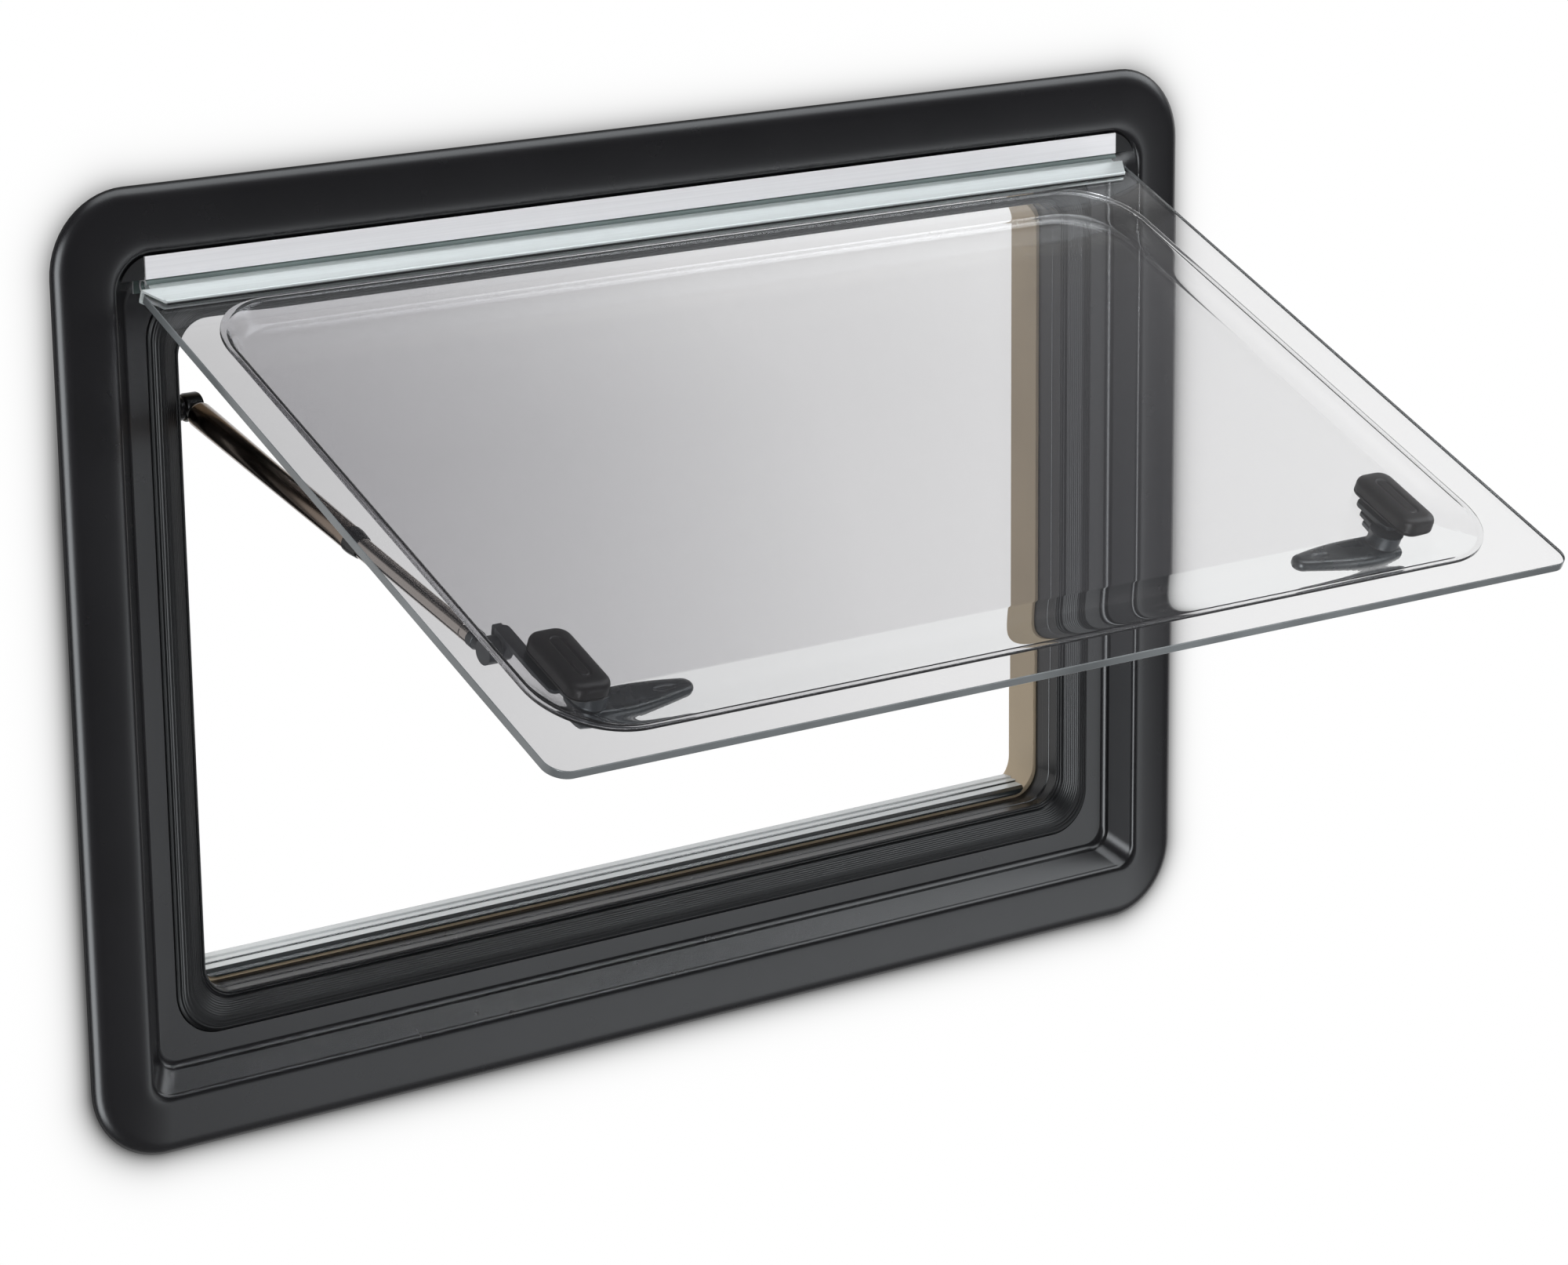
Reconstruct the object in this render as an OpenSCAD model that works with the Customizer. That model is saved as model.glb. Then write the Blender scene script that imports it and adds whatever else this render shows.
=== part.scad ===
// Top-hung caravan window: a moulded outer frame with a double-walled plastic sash that opens outward.
// X runs to the right as seen from outside, Z is up and Y runs into the vehicle.
// The origin is the centre of the flange's back face, which lies on the outer skin of the wall.
// An inset is the distance of a point of a ring from the frame's outer edge, measured inward.

/* [Frame] */
// Width of the outer frame
frame_w = 784; // [600:2:1000]
// Height of the outer frame
frame_h = 550; // [450:2:700]
// Radius of the frame's outer corners
frame_corner_r = 46; // [36:1:60]
// How far the flange laps the wall outside the cut-out
flange_lap = 22; // [16:1:26]
// Height of the rolled outer edge above the wall
edge_h = 4.2; // [3:0.1:5]
// Width of the crowned face, from the outer edge to the ridge
face_w = 31; // [28:1:40]
// Height of the ridge above the wall
ridge_h = 9; // [8:0.5:14]
// Radius of the recess's upper corners
recess_top_r = 22; // [16:1:24]
// Radius of the recess's lower corners
recess_bottom_r = 12; // [8:1:20]
// How far the recess wall leans inward on its way down
recess_lean = 8.6; // [5:0.1:9]
// Depth of the recess floor below the wall's skin
recess_depth = 8.5; // [7:0.5:10]
// Width of the flat floor between the recess wall and the gasket
floor_w = 11.5; // [11:0.5:14]
// Thickness of the vehicle wall that is clamped
wall_t = 30; // [26:1:60]
// How far the collar stands out behind the wall
collar_back = 4; // [3:0.5:8]
// Width of the groove for sealing compound in the flange's back
seal_w = 3; // [2:0.5:5]
// Depth of the groove for sealing compound
seal_depth = 1; // [0.5:0.1:1.5]

/* [Gasket] */
// Width of the rubber gasket round the opening
gasket_w = 21; // [20:0.5:24]
// Depth of the groove that the gasket sits in
gasket_seat = 4.5; // [3:0.5:6]
// Height of the gasket's crest above the recess floor
gasket_crest = 3.6; // [2.5:0.1:4]
// Radius of the opening's corners
opening_r = 18; // [12:1:24]

/* [Hinge rail] */
// Depth of the hinge axis in front of the wall's skin
hinge_out = 4.3; // [4:0.1:5]
// Height of the rail's bright face
rail_face_h = 12.7; // [10:0.1:12.7]
// Thickness of the rail's walls
rail_t = 1.4; // [1:0.1:2]
// Radius of the round bead that turns in the rail
bead_r = 2.5; // [2:0.1:2.7]
// Clearance round the bead in its socket
bead_gap = 0.3; // [0.1:0.05:0.4]
// Thickness of the socket's wall round the bead
socket_t = 1.7; // [1.2:0.1:1.8]

/* [Sash] */
// Angle by which the sash stands open
open_angle = 66; // [50:1:66]
// Inset of the outer pane's side edges from the frame's edge
pane_side_inset = 50; // [49:0.5:54]
// Inset of the closed pane's bottom edge from the frame's edge
pane_bottom_inset = 55.5; // [50:0.5:58]
// Thickness of the outer pane
pane_t = 5; // [3:0.5:5]
// Radius of the pane's lower corners
pane_corner_r = 12; // [6:1:30]
// Thickness of the formed inner pane
tray_t = 2.5; // [2:0.1:3]
// How far the inner pane stands off the outer pane
tray_rise = 10.8; // [8:0.1:12]
// Width of the inner pane's sloping flank
tray_flank = 24; // [20:1:26]
// Radius of the corners at the foot of the flank
tray_corner_r = 42; // [36:1:50]
// Width of the inner pane's glued rim
tray_rim = 9; // [6:0.5:10]
// Length of the metal channel along the sash's upper edge, measured down the sash
channel_l = 14.2; // [10:0.1:16]
// Thickness of the channel's walls
channel_t = 1.4; // [1:0.1:1.8]

/* [Inner frame] */
// Depth of the inner frame behind the wall
inner_depth = 30; // [20:1:40]
// Inset of the inner frame's outer edge from the outer frame's edge
inner_edge = 6; // [4:0.5:10]
// Wall thickness of the inner frame
inner_t = 3.4; // [2.5:0.1:4]
// Width of the foot that clamps the wall
inner_foot = 15.5; // [10:0.5:15.5]
// Height of the sill strip
sill_h = 6; // [4:0.5:8]

/* [Stay] */
// Distance of the stay's centre plane from the opening's left side
stay_off = 13; // [12:0.5:16]
// Depth of the frame pivot behind the wall's skin
stay_pivot_y = 25; // [22:0.5:27]
// Distance of the frame pivot below the hinge axis, as a share of the sash pivot's
stay_drop_share = 0.2455; // [0.22:0.0005:0.28]
// Distance of the sash pivot above the latch's turning axis
stay_above_latch = 53; // [50:1:65]
// Distance of the sash pivot inward from the outer face of the sash
stay_stand = 30; // [29:0.5:32]
// Diameter of the connector and of the tube's upper end
stay_d = 15; // [13:0.5:16]
// Diameter of the tube's lower end
stay_end_d = 10.5; // [10:0.1:12]
// Length of the stay tube between its shortest (0) and its longest (1) useful length
tube_share = 0.613; // [0.4:0.001:0.9]
// Length of the dark end cap on the tube
tube_cap_l = 12; // [8:0.5:16]
// Diameter of the sliding rod
rod_d = 8; // [6:0.5:8]
// Length of rod that stays inside the tube when the sash is fully open
rod_insert = 35; // [30:1:50]
// Radial clearance of the rod in the tube
rod_gap = 0.3; // [0.2:0.05:0.5]
// Diameter of the eyes at the sash pivots
eye_d = 14; // [12:0.5:15]
// Width of the eyes along the pivot
eye_w = 8; // [6:0.5:9]

/* [Latches] */
// Distance of the latch's turning axis from the opening's side
latch_off = 40; // [38:0.5:46]
// Distance of the turning axis above the sash's lower edge
latch_up = 75.1; // [70:0.1:85]
// Length of the outer cap
cap_l = 52; // [44:1:56]
// Width of the outer cap
cap_w = 28; // [22:1:30]
// Distance of the outer cap's centre from the turning axis, toward the sash's side
cap_aside = 10; // [8:0.5:12]
// Distance of the outer cap's centre above the turning axis
cap_up = 10; // [6:0.5:12]
// Diameter of the latch's neck
neck_d = 20; // [16:0.5:22]
// Reach of the catch teeth from the turning axis
tooth_r = 26; // [22:0.5:27]
// Width of the catch teeth
tooth_w = 13; // [8:0.5:16]
// Length of the lever from the turning axis
lever_l = 70; // [55:1:75]
// Half the width of the lever at its widest
lever_r = 11; // [9:0.5:11]
// Thickness of the lever
lever_t = 8; // [7:0.5:10]
// Thickness of each catch tooth
tooth_t = 2.4; // [2:0.1:3]
// Depth of the slot above, between and below the catch teeth
tooth_slot = 1.4; // [1:0.1:2]
// Thickness of the latch's base plate
plate_t = 3; // [2:0.5:4]

/* [Fit] */
// Gap left between pieces that are seated on one another
seat_gap = 0.2; // [0.1:0.05:0.3]

/* [Hidden] */

// Straight steps in each rounded corner of a lofted ring
corner_steps = 9;
$fn = 64;

half_w = frame_w / 2;
half_h = frame_h / 2;

// Insets of the frame's section, from the outer edge to the opening
ridge_in = face_w + 2.6;
wall_top_in = ridge_in + 3;
wall_foot_in = wall_top_in + recess_lean;
floor_in = wall_foot_in + 4.3;
gasket_in = floor_in + floor_w;
opening_in = gasket_in + gasket_w;
collar_y = wall_t + collar_back;
seat_y = recess_depth + gasket_seat;
opening_half_w = half_w - opening_in;
opening_half_h = half_h - opening_in;
reveal_in = opening_in + 2;

// The hinge axis lies level with the upper end of the recess floor
hinge_y = -hinge_out;
rail_web_z = half_h - floor_in - 1;
socket_r = bead_r + bead_gap + socket_t;
hinge_z = rail_web_z - socket_r + 0.6;
rail_face_y = -ridge_h + 1;
rail_half = half_w - ridge_in - recess_top_r + 1.7;

// The sash, in its own frame: distance down the sash and distance inward
pane_half = half_w - pane_side_inset;
pane_bottom = hinge_z + half_h - pane_bottom_inset;
channel_top = socket_r + 0.3;
pane_top = channel_top + channel_t + seat_gap;
channel_end = channel_top + channel_l;
channel_in = pane_t + seat_gap + channel_t;
tray_n = pane_t + seat_gap;
tray_floor_n = tray_n + tray_rise;
tray_back_n = tray_floor_n + tray_t;
tray_foot_half = pane_half - 2 * tray_rim;
tray_foot_bottom = pane_bottom - 2 * tray_rim;
tray_rim_top = channel_end + 0.4;
tray_foot_top = tray_rim_top + 3.4;

// The stay at the left side, in the plane of its two pivots
latch_reach = pane_bottom - latch_up;
stay_reach = latch_reach - stay_above_latch;
stay_x = -opening_half_w + stay_off;
stay_pivot_z = hinge_z - stay_drop_share * stay_reach;
pivot_open_y = hinge_y - stay_reach * sin(open_angle) + stay_stand * cos(open_angle);
pivot_open_z = hinge_z - stay_reach * cos(open_angle) - stay_stand * sin(open_angle);
open_dy = pivot_open_y - stay_pivot_y;
open_dz = pivot_open_z - stay_pivot_z;
stay_open_l = sqrt(open_dy * open_dy + open_dz * open_dz);
stay_angle = atan2(-open_dy, -open_dz);
shut_dy = hinge_y + stay_stand - stay_pivot_y;
shut_dz = hinge_z - stay_reach - stay_pivot_z;
stay_shut_l = sqrt(shut_dy * shut_dy + shut_dz * shut_dz);
stay_slide = stay_open_l - stay_shut_l;
ferrule_l = 9;
tube_min = stay_slide + rod_insert + stay_d + 5;
tube_max = stay_shut_l - eye_d / 2 - ferrule_l - tube_cap_l - 5;
tube_l = tube_min + tube_share * (tube_max - tube_min);
rod_tip = tube_l - rod_insert;
bore_start = rod_tip - stay_slide - 5;
rod_end = stay_open_l - eye_d / 2 - ferrule_l;

// The latches
latch_x = opening_half_w - latch_off;
plate_n = tray_back_n + seat_gap;
plate_top_n = plate_n + plate_t;
neck_n = plate_top_n + 0.3;
tooth_n = neck_n + tooth_slot;
tooth_pitch = tooth_t + tooth_slot;
lever_n = tooth_n + 2 * tooth_pitch;
ear_t = 6;

// Corner of a ring: an arc of a given radius about (x, z), starting at the angle from
function arc(x, z, r, from) =
    [for (i = [0:corner_steps])
        [x + r * cos(from + 90 * i / corner_steps), z + r * sin(from + 90 * i / corner_steps)]];

// Rounded rectangle from low to high z, as a closed list of points
function ring(half, low, high, bottom_r, top_r) = concat(
    arc(half - top_r, high - top_r, top_r, 0),
    arc(-half + top_r, high - top_r, top_r, 90),
    arc(-half + bottom_r, low + bottom_r, bottom_r, 180),
    arc(half - bottom_r, low + bottom_r, bottom_r, 270));

// The same ring standing at the depth y
function ring_at(points, y) = [for (p = points) [p[0], y, p[1]]];

// Ring of the frame at an inset and a depth
function frame_ring(inset, y, bottom_r, top_r) =
    ring_at(ring(half_w - inset, -half_h + inset, half_h - inset, bottom_r, top_r), y);

// Radius at an inset, blended between the outer corner and the ridge's corner
function face_r(inset, ridge_r) =
    frame_corner_r + (ridge_r - frame_corner_r) * min(1, inset / ridge_in);

// Solid through a list of rings: from outside in along the front, then back outward behind.
// Without caps the last ring joins the first.
module loft(rings, capped = false) {
    size = len(rings[0]);
    count = len(rings);
    points = [for (r = rings) each r];
    last = capped ? count - 2 : count - 1;
    sides = [for (i = [0:last]) for (j = [0:size - 1])
        let (a = i * size, b = ((i + 1) % count) * size, k = (j + 1) % size)
        each [[a + j, b + k, a + k], [a + j, b + j, b + k]]];
    caps = capped
        ? [[for (j = [0:size - 1]) j], [for (j = [0:size - 1]) count * size - 1 - j]]
        : [];
    polyhedron(points = points, faces = concat(sides, caps), convexity = 6);
}

// Places the sash's own frame, where y runs inward and z runs up the sash, at the open angle
module in_sash() {
    translate([0, hinge_y, hinge_z]) rotate([-open_angle, 0, 0]) children();
}

// Flat shape drawn in x and z, raised inward from one depth to another
module slab(from, to) {
    translate([0, to, 0]) rotate([90, 0, 0]) linear_extrude(to - from) children();
}

// Section drawn in y and z, drawn out along x to both sides
module along_x(half) {
    translate([-half, 0, 0]) rotate([90, 0, 90]) linear_extrude(2 * half) children();
}

// Mirrors what is modelled for the right side to the left one
module on_side(side) {
    mirror([side < 0 ? 1 : 0, 0, 0]) children();
}

// Long shape with round ends between two heights
module stadium(length, width) {
    translate([0, (length - width) / 2]) circle(d = width);
    translate([0, -(length - width) / 2]) circle(d = width);
    square([width, length - width], center = true);
}

// Moulded frame: rolled edge, crowned face, ridge, drafted recess, gasket groove and collar
module outer_frame() {
    face = [
        [0.8, 0], [0, -0.3 * edge_h], [0.4, -0.6 * edge_h], [1.6, -0.86 * edge_h], [3.4, -edge_h],
        [0.32 * face_w, -edge_h - 0.4 * (ridge_h - edge_h)],
        [0.58 * face_w, -edge_h - 0.72 * (ridge_h - edge_h)],
        [0.84 * face_w, -edge_h - 0.94 * (ridge_h - edge_h)],
        [face_w, -ridge_h], [ridge_in, -ridge_h + 0.2],
        [ridge_in + 1.8, -ridge_h + 1], [wall_top_in, -ridge_h + 2.6]
    ];
    recess = [
        [wall_foot_in, recess_depth - 4], [wall_foot_in + 1, recess_depth - 1.9],
        [wall_foot_in + 2.6, recess_depth - 0.6], [floor_in, recess_depth]
    ];
    groove = [[gasket_in - seat_gap, recess_depth], [gasket_in - seat_gap, seat_y]];
    throat = [[opening_in, seat_y], [opening_in, collar_y], [flange_lap + 2, collar_y],
        [flange_lap + 2, wall_t + 0.6], [flange_lap, wall_t - 1], [flange_lap, 0]];
    seal_in = 0.45 * flange_lap;
    color([0.07, 0.07, 0.08]) difference() {
        loft(concat(
            [for (p = face) frame_ring(p[0], p[1], face_r(p[0], recess_bottom_r), face_r(p[0], recess_top_r))],
            [for (p = recess) frame_ring(p[0], p[1], recess_bottom_r, recess_top_r)],
            [for (p = groove) frame_ring(p[0], p[1], opening_r + 9, opening_r + 9)],
            [for (p = throat) let (r = p[0] < gasket_in ? frame_corner_r - p[0] : opening_r)
                frame_ring(p[0], p[1], r, r)]));
        slab(-seal_depth, 5) difference() {
            frame_outline(seal_in);
            frame_outline(seal_in + seal_w);
        }
    }
}

// Flat outline parallel to the frame's outer edge
module frame_outline(inset) {
    r = frame_corner_r - inset;
    polygon(ring(half_w - inset, -half_h + inset, half_h - inset, r, r));
}

// Rubber gasket: a low ribbed mound that falls to a double lip at the opening
module opening_gasket() {
    crest_y = recess_depth - gasket_crest;
    lip_y = seat_y - 0.6;
    fall = lip_y - crest_y;
    ribs = 4;
    rib_pitch = (gasket_w - 9.5) / ribs;
    mound = concat(
        [[0.2, recess_depth], [0.6, recess_depth - 1.2], [2.6, crest_y + 0.3], [3.4, crest_y], [6.6, crest_y]],
        [for (i = [0:ribs - 1])
            let (at = 7 + i * rib_pitch, y = crest_y + fall * pow((at - 6.6) / (gasket_w - 7), 1.25))
            each [[at, y + 0.7], [at + 0.45 * rib_pitch, y + 0.5], [at + 0.7 * rib_pitch, y + 0.1]]],
        [[gasket_w - 2.2, lip_y - 1.6], [gasket_w - 1.5, lip_y - 0.4], [gasket_w - 1, lip_y - 0.9],
            [gasket_w - 0.3, lip_y - 0.5], [gasket_w, lip_y]]);
    profile = concat(mound, [[gasket_w, seat_y - seat_gap], [0.2, seat_y - seat_gap]]);
    color([0.04, 0.04, 0.045]) loft([for (p = profile)
        let (r = opening_r + 9 * (1 - p[0] / gasket_w))
        frame_ring(gasket_in + p[0], p[1], r, r)]);
}

// Extruded rail: bright face, web, foot on the recess floor and the socket of the hinge
module hinge_rail() {
    foot_y = recess_depth - seat_gap - rail_t;
    web_t = 0.9 * rail_t;
    foot_half = half_w - floor_in - recess_top_r - 0.5;
    color([0.9, 0.91, 0.92]) union() {
        along_x(rail_half) difference() {
            union() {
                translate([rail_face_y, rail_web_z]) square([rail_t, rail_face_h]);
                translate([rail_face_y, rail_web_z]) square([hinge_y + socket_r - rail_face_y, web_t]);
                translate([hinge_y, hinge_z]) circle(r = socket_r);
            }
            translate([hinge_y, hinge_z]) circle(r = bead_r + bead_gap);
            translate([hinge_y, hinge_z]) polygon([[0, 0],
                [10 * sin(28), -10 * cos(28)], [0, -14], [-12, -12], [-14, 0], [-10 * cos(10), 10 * sin(10)]]);
        }
        along_x(foot_half) {
            translate([hinge_y + socket_r - 1, rail_web_z])
                square([recess_depth - seat_gap - hinge_y - socket_r + 1, web_t]);
            translate([foot_y, gasket_top()]) square([rail_t, rail_web_z - gasket_top() + web_t]);
        }
    }
}

// Height of the gasket groove's upper edge, with room for the rail's foot above it
function gasket_top() = half_h - gasket_in + 0.6;

// Outline of a hinge cap at a depth: the recess's corner beyond the rail's end
module hinge_cap_outline(inset) {
    intersection() {
        translate([rail_half + 0.3, rail_web_z]) square([60, 60]);
        polygon(ring(half_w - inset, -half_h + inset, half_h - inset, recess_bottom_r, recess_top_r));
    }
}

// Black moulded cap that closes the recess's corner beyond the rail
module hinge_cap(side) {
    cap_foot_y = -1;
    lean = recess_lean / (recess_depth - 4 + ridge_h - 2.6);
    top_in = wall_top_in + 0.35;
    foot_in = top_in + lean * (cap_foot_y + ridge_h - 2.6);
    color([0.06, 0.06, 0.065]) on_side(side) hull() {
        slab(rail_face_y + 0.6, rail_face_y + 1) hinge_cap_outline(top_in);
        slab(cap_foot_y - 0.2, cap_foot_y) hinge_cap_outline(foot_in);
    }
}

// Ring of the inner frame: parallel to the collar outside, with the opening's corners inside
function inner_ring(inset, y) =
    let (r = max(opening_r, frame_corner_r - 4 - inset))
    frame_ring(inset, y, r, r);

// Inner frame: a channel moulding with a clamping foot and an inner reveal, open toward the wall
module inner_frame() {
    front_y = wall_t + inner_depth;
    start_y = collar_y + seat_gap;
    foot_end = inner_edge + inner_foot;
    body = [
        [reveal_in, start_y], [reveal_in, front_y - 1.6], [reveal_in - 0.5, front_y - 0.5],
        [reveal_in - 1.6, front_y], [inner_edge + 3, front_y], [inner_edge + 0.9, front_y - 0.9],
        [inner_edge, front_y - 3], [inner_edge, wall_t], [foot_end + 8, wall_t], [foot_end + 8, start_y]
    ];
    hollow = [
        [reveal_in - inner_t, wall_t - 5], [reveal_in - inner_t, front_y - inner_t],
        [inner_edge + inner_t, front_y - inner_t], [inner_edge + inner_t, wall_t + inner_t],
        [foot_end, wall_t + inner_t], [foot_end, wall_t - 5]
    ];
    color([0.83, 0.77, 0.66]) difference() {
        loft([for (p = body) inner_ring(p[0], p[1])]);
        loft([for (p = hollow) inner_ring(p[0], p[1])]);
    }
}

// Sill strip: a slim bar with two steps that lies on the lower reveal and is cut to the reveal's corners
module sill_strip() {
    base_z = -half_h + reveal_in + seat_gap;
    from_y = collar_y + 2;
    to_y = wall_t + inner_depth - 2;
    mid_y = (from_y + to_y) / 2;
    color([0.75, 0.78, 0.79]) intersection() {
        along_x(opening_half_w) polygon([
            [from_y, base_z - 1], [to_y, base_z - 1], [to_y, base_z + sill_h], [mid_y + 4, base_z + sill_h],
            [mid_y + 3, base_z + sill_h - 1.2], [mid_y - 2, base_z + sill_h - 1.2],
            [mid_y - 3, base_z + 0.55 * sill_h], [from_y + 3, base_z + 0.45 * sill_h],
            [from_y, base_z + 0.2 * sill_h]]);
        slab(from_y - 1, to_y + 1) polygon(ring(half_w - reveal_in - seat_gap, base_z, -base_z, opening_r, opening_r));
    }
}

// Black connector that reaches from the reveal to the stay's upper eye
module stay_bracket() {
    boss_t = 2.2;
    eye_edge = stay_x - eye_w / 2 - 2;
    color([0.05, 0.05, 0.055])
        translate([-opening_half_w + seat_gap, stay_pivot_y, stay_pivot_z]) rotate([0, 90, 0]) {
            cylinder(d = stay_d - 1, h = eye_edge + opening_half_w - seat_gap);
            cylinder(d = stay_d + 3, h = boss_t - seat_gap);
        }
}

// Places the stay's own frame: z runs from the frame pivot to the sash pivot, x is the pivots' axis
module along_stay() {
    translate([stay_x, stay_pivot_y, stay_pivot_z]) rotate([180 - stay_angle, 0, 0]) children();
}

// Tapered tube with an elbow eye at the frame pivot and a bore for the rod
module stay_tube() {
    eye_half = eye_w / 2 + 1.2;
    shoulder = 0.65 * stay_d;
    color([0.2, 0.17, 0.15]) along_stay() difference() {
        union() {
            rotate([0, 90, 0]) translate([0, 0, -eye_half]) cylinder(d = stay_d + 1, h = 2 * eye_half);
            cylinder(r = eye_half, h = shoulder + 1);
            translate([0, 0, shoulder])
                cylinder(d1 = stay_d - 1.5, d2 = stay_end_d, h = tube_l - shoulder);
        }
        translate([0, 0, bore_start]) cylinder(d = rod_d + 2 * rod_gap, h = tube_l);
    }
}

// Dark conical cap on the tube's lower end
module stay_tube_cap() {
    color([0.05, 0.05, 0.055]) along_stay() translate([0, 0, tube_l]) difference() {
        union() {
            cylinder(d = stay_end_d + 1.6, h = 0.35 * tube_cap_l);
            translate([0, 0, 0.35 * tube_cap_l])
                cylinder(d1 = stay_end_d + 1.6, d2 = rod_d + 2 * rod_gap + 1.4, h = 0.65 * tube_cap_l);
        }
        translate([0, 0, -1]) cylinder(d = rod_d + 2 * rod_gap, h = tube_cap_l + 2);
    }
}

// Bright rod that slides in the tube
module stay_rod() {
    color([0.8, 0.81, 0.82]) along_stay()
        translate([0, 0, rod_tip]) cylinder(d = rod_d, h = rod_end - rod_tip);
}

// Ferrule and flat eye at the rod's lower end
module stay_rod_eye() {
    color([0.2, 0.21, 0.22]) along_stay() {
        translate([0, 0, rod_end]) cylinder(d = eye_w + 0.6, h = 0.6 * ferrule_l);
        translate([0, 0, rod_end + 0.4 * ferrule_l]) cylinder(d = eye_w - 1, h = 0.6 * ferrule_l + eye_d / 4);
        translate([-eye_w / 2, 0, stay_open_l]) rotate([0, 90, 0]) cylinder(d = eye_d, h = eye_w);
    }
}

// Metal channel along the sash's upper edge, with the bead that turns in the rail
module sash_channel() {
    lip_n = -channel_t;
    color([0.85, 0.9, 0.89]) in_sash() {
        along_x(rail_half - 2) {
            circle(r = bead_r);
            translate([-0.8, -channel_top - 0.4]) square([1.6, channel_top]);
        }
        along_x(pane_half) difference() {
            translate([lip_n, -channel_end]) square([channel_in - lip_n, channel_l]);
            translate([-seat_gap, -channel_end - 1]) square([pane_t + 2 * seat_gap, channel_l + 1 - channel_t]);
        }
    }
}

// Outline of the flat outer pane, with its lower corners rounded
module pane_outline() {
    polygon(ring(pane_half, -pane_bottom, -pane_top, pane_corner_r, 3));
}

// Flat outer pane
module outer_pane() {
    color([0.62, 0.64, 0.66, 0.35]) in_sash() slab(0, pane_t) pane_outline();
}

// Ring of the inner pane, at a depth, moved in by a distance from the foot of the flank
function tray_ring(move, n, r) =
    ring_at(ring(tray_foot_half - move, -tray_foot_bottom + move, -tray_foot_top - max(move, -3.4), r, r), n);

// Formed inner pane: glued rim, smooth flank and a flat raised floor, all of one thickness
module inner_pane() {
    steps = 8;
    flank = [for (i = [0:steps]) let (t = i / steps) [t * tray_flank, t * t * (3 - 2 * t)]];
    radius = [for (f = flank) tray_corner_r - 0.45 * f[0]];
    back = [for (i = [steps:-1:0]) tray_ring(flank[i][0], tray_n + tray_t + tray_rise * flank[i][1], radius[i])];
    front = [for (i = [0:steps]) tray_ring(flank[i][0], tray_n + tray_rise * flank[i][1], radius[i])];
    rim_r = tray_corner_r + 2;
    rim = [tray_ring(-tray_rim, tray_n + tray_t, rim_r), tray_ring(-tray_rim, tray_n, rim_r)];
    color([0.6, 0.62, 0.64, 0.35]) in_sash() loft(concat(back, rim, front), capped = true);
}

// Rounded cap between the panes, crowned outward, with a long oval groove
module latch_cap(side) {
    low = pane_t + seat_gap;
    high = tray_floor_n - seat_gap;
    crown = 2.6;
    groove = 0.9;
    color([0.13, 0.11, 0.1]) on_side(side) in_sash() translate([latch_x + cap_aside, 0, -latch_reach + cap_up])
        difference() {
            union() {
                slab(low + crown, high) stadium_block(cap_l, cap_w);
                translate([0, low + crown, 0]) rotate([90, 0, 0])
                    linear_extrude(crown, scale = 0.9) stadium_block(cap_l, cap_w);
            }
            slab(low - 1, low + groove) difference() {
                stadium(0.66 * cap_l, 0.36 * cap_w);
                stadium(0.66 * cap_l - 2.4, 0.36 * cap_w - 2.4);
            }
        }
}

// Rectangle with generous corners, as the caps have
module stadium_block(length, width) {
    r = 0.36 * width;
    polygon(ring(width / 2, -length / 2, length / 2, r, r));
}

// Base on the inner pane: a rounded plate under the latch
module latch_base(side) {
    margin = 1.5;
    color([0.22, 0.24, 0.26]) in_sash() {
        on_side(side) slab(plate_n, plate_top_n) polygon(ring_between(
            latch_x - neck_d / 2 - margin, latch_x + cap_aside + cap_w / 2 - margin,
            -latch_reach - neck_d / 2 - margin, -latch_reach + cap_up + cap_l / 2 - margin, 5));
        if (side < 0) stay_ear();
    }
}

// Arm of the left base, with the ear of the stay's pivot on the side away from the reveal
module stay_ear() {
    ear_x = stay_x + eye_w / 2 + 0.5;
    ear_r = eye_d / 2;
    foot = ear_r + 3;
    slab(plate_n, plate_top_n) polygon(ring_between(
        stay_x, ear_x + ear_t, -latch_reach, -stay_reach + foot, 3));
    hull() {
        translate([ear_x, stay_stand, -stay_reach]) rotate([0, 90, 0]) cylinder(r = ear_r, h = ear_t);
        translate([ear_x, plate_top_n - 0.4, -stay_reach - foot]) cube([ear_t, 0.4, 2 * foot]);
    }
}

// Rounded rectangle between two x and two z
function ring_between(x_low, x_high, z_low, z_high, r) =
    [for (p = ring((x_high - x_low) / 2, z_low, z_high, r, r)) [p[0] + (x_low + x_high) / 2, p[1]]];

// Turning neck with two stacked catch teeth that point up the sash; the deeper one is shorter
module latch_catch(side) {
    color([0.2, 0.22, 0.24]) on_side(side) in_sash() translate([latch_x, 0, -latch_reach]) {
        slab(neck_n, lever_n) circle(d = neck_d);
        for (i = [0:1]) {
            low_n = tooth_n + i * tooth_pitch;
            reach = tooth_r - 4 * i;
            slab(low_n, low_n + tooth_t) difference() {
                translate([-tooth_w / 2, 0]) square([tooth_w, reach]);
                translate([0, reach + 3.4]) circle(r = 6.5);
            }
        }
    }
}

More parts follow.
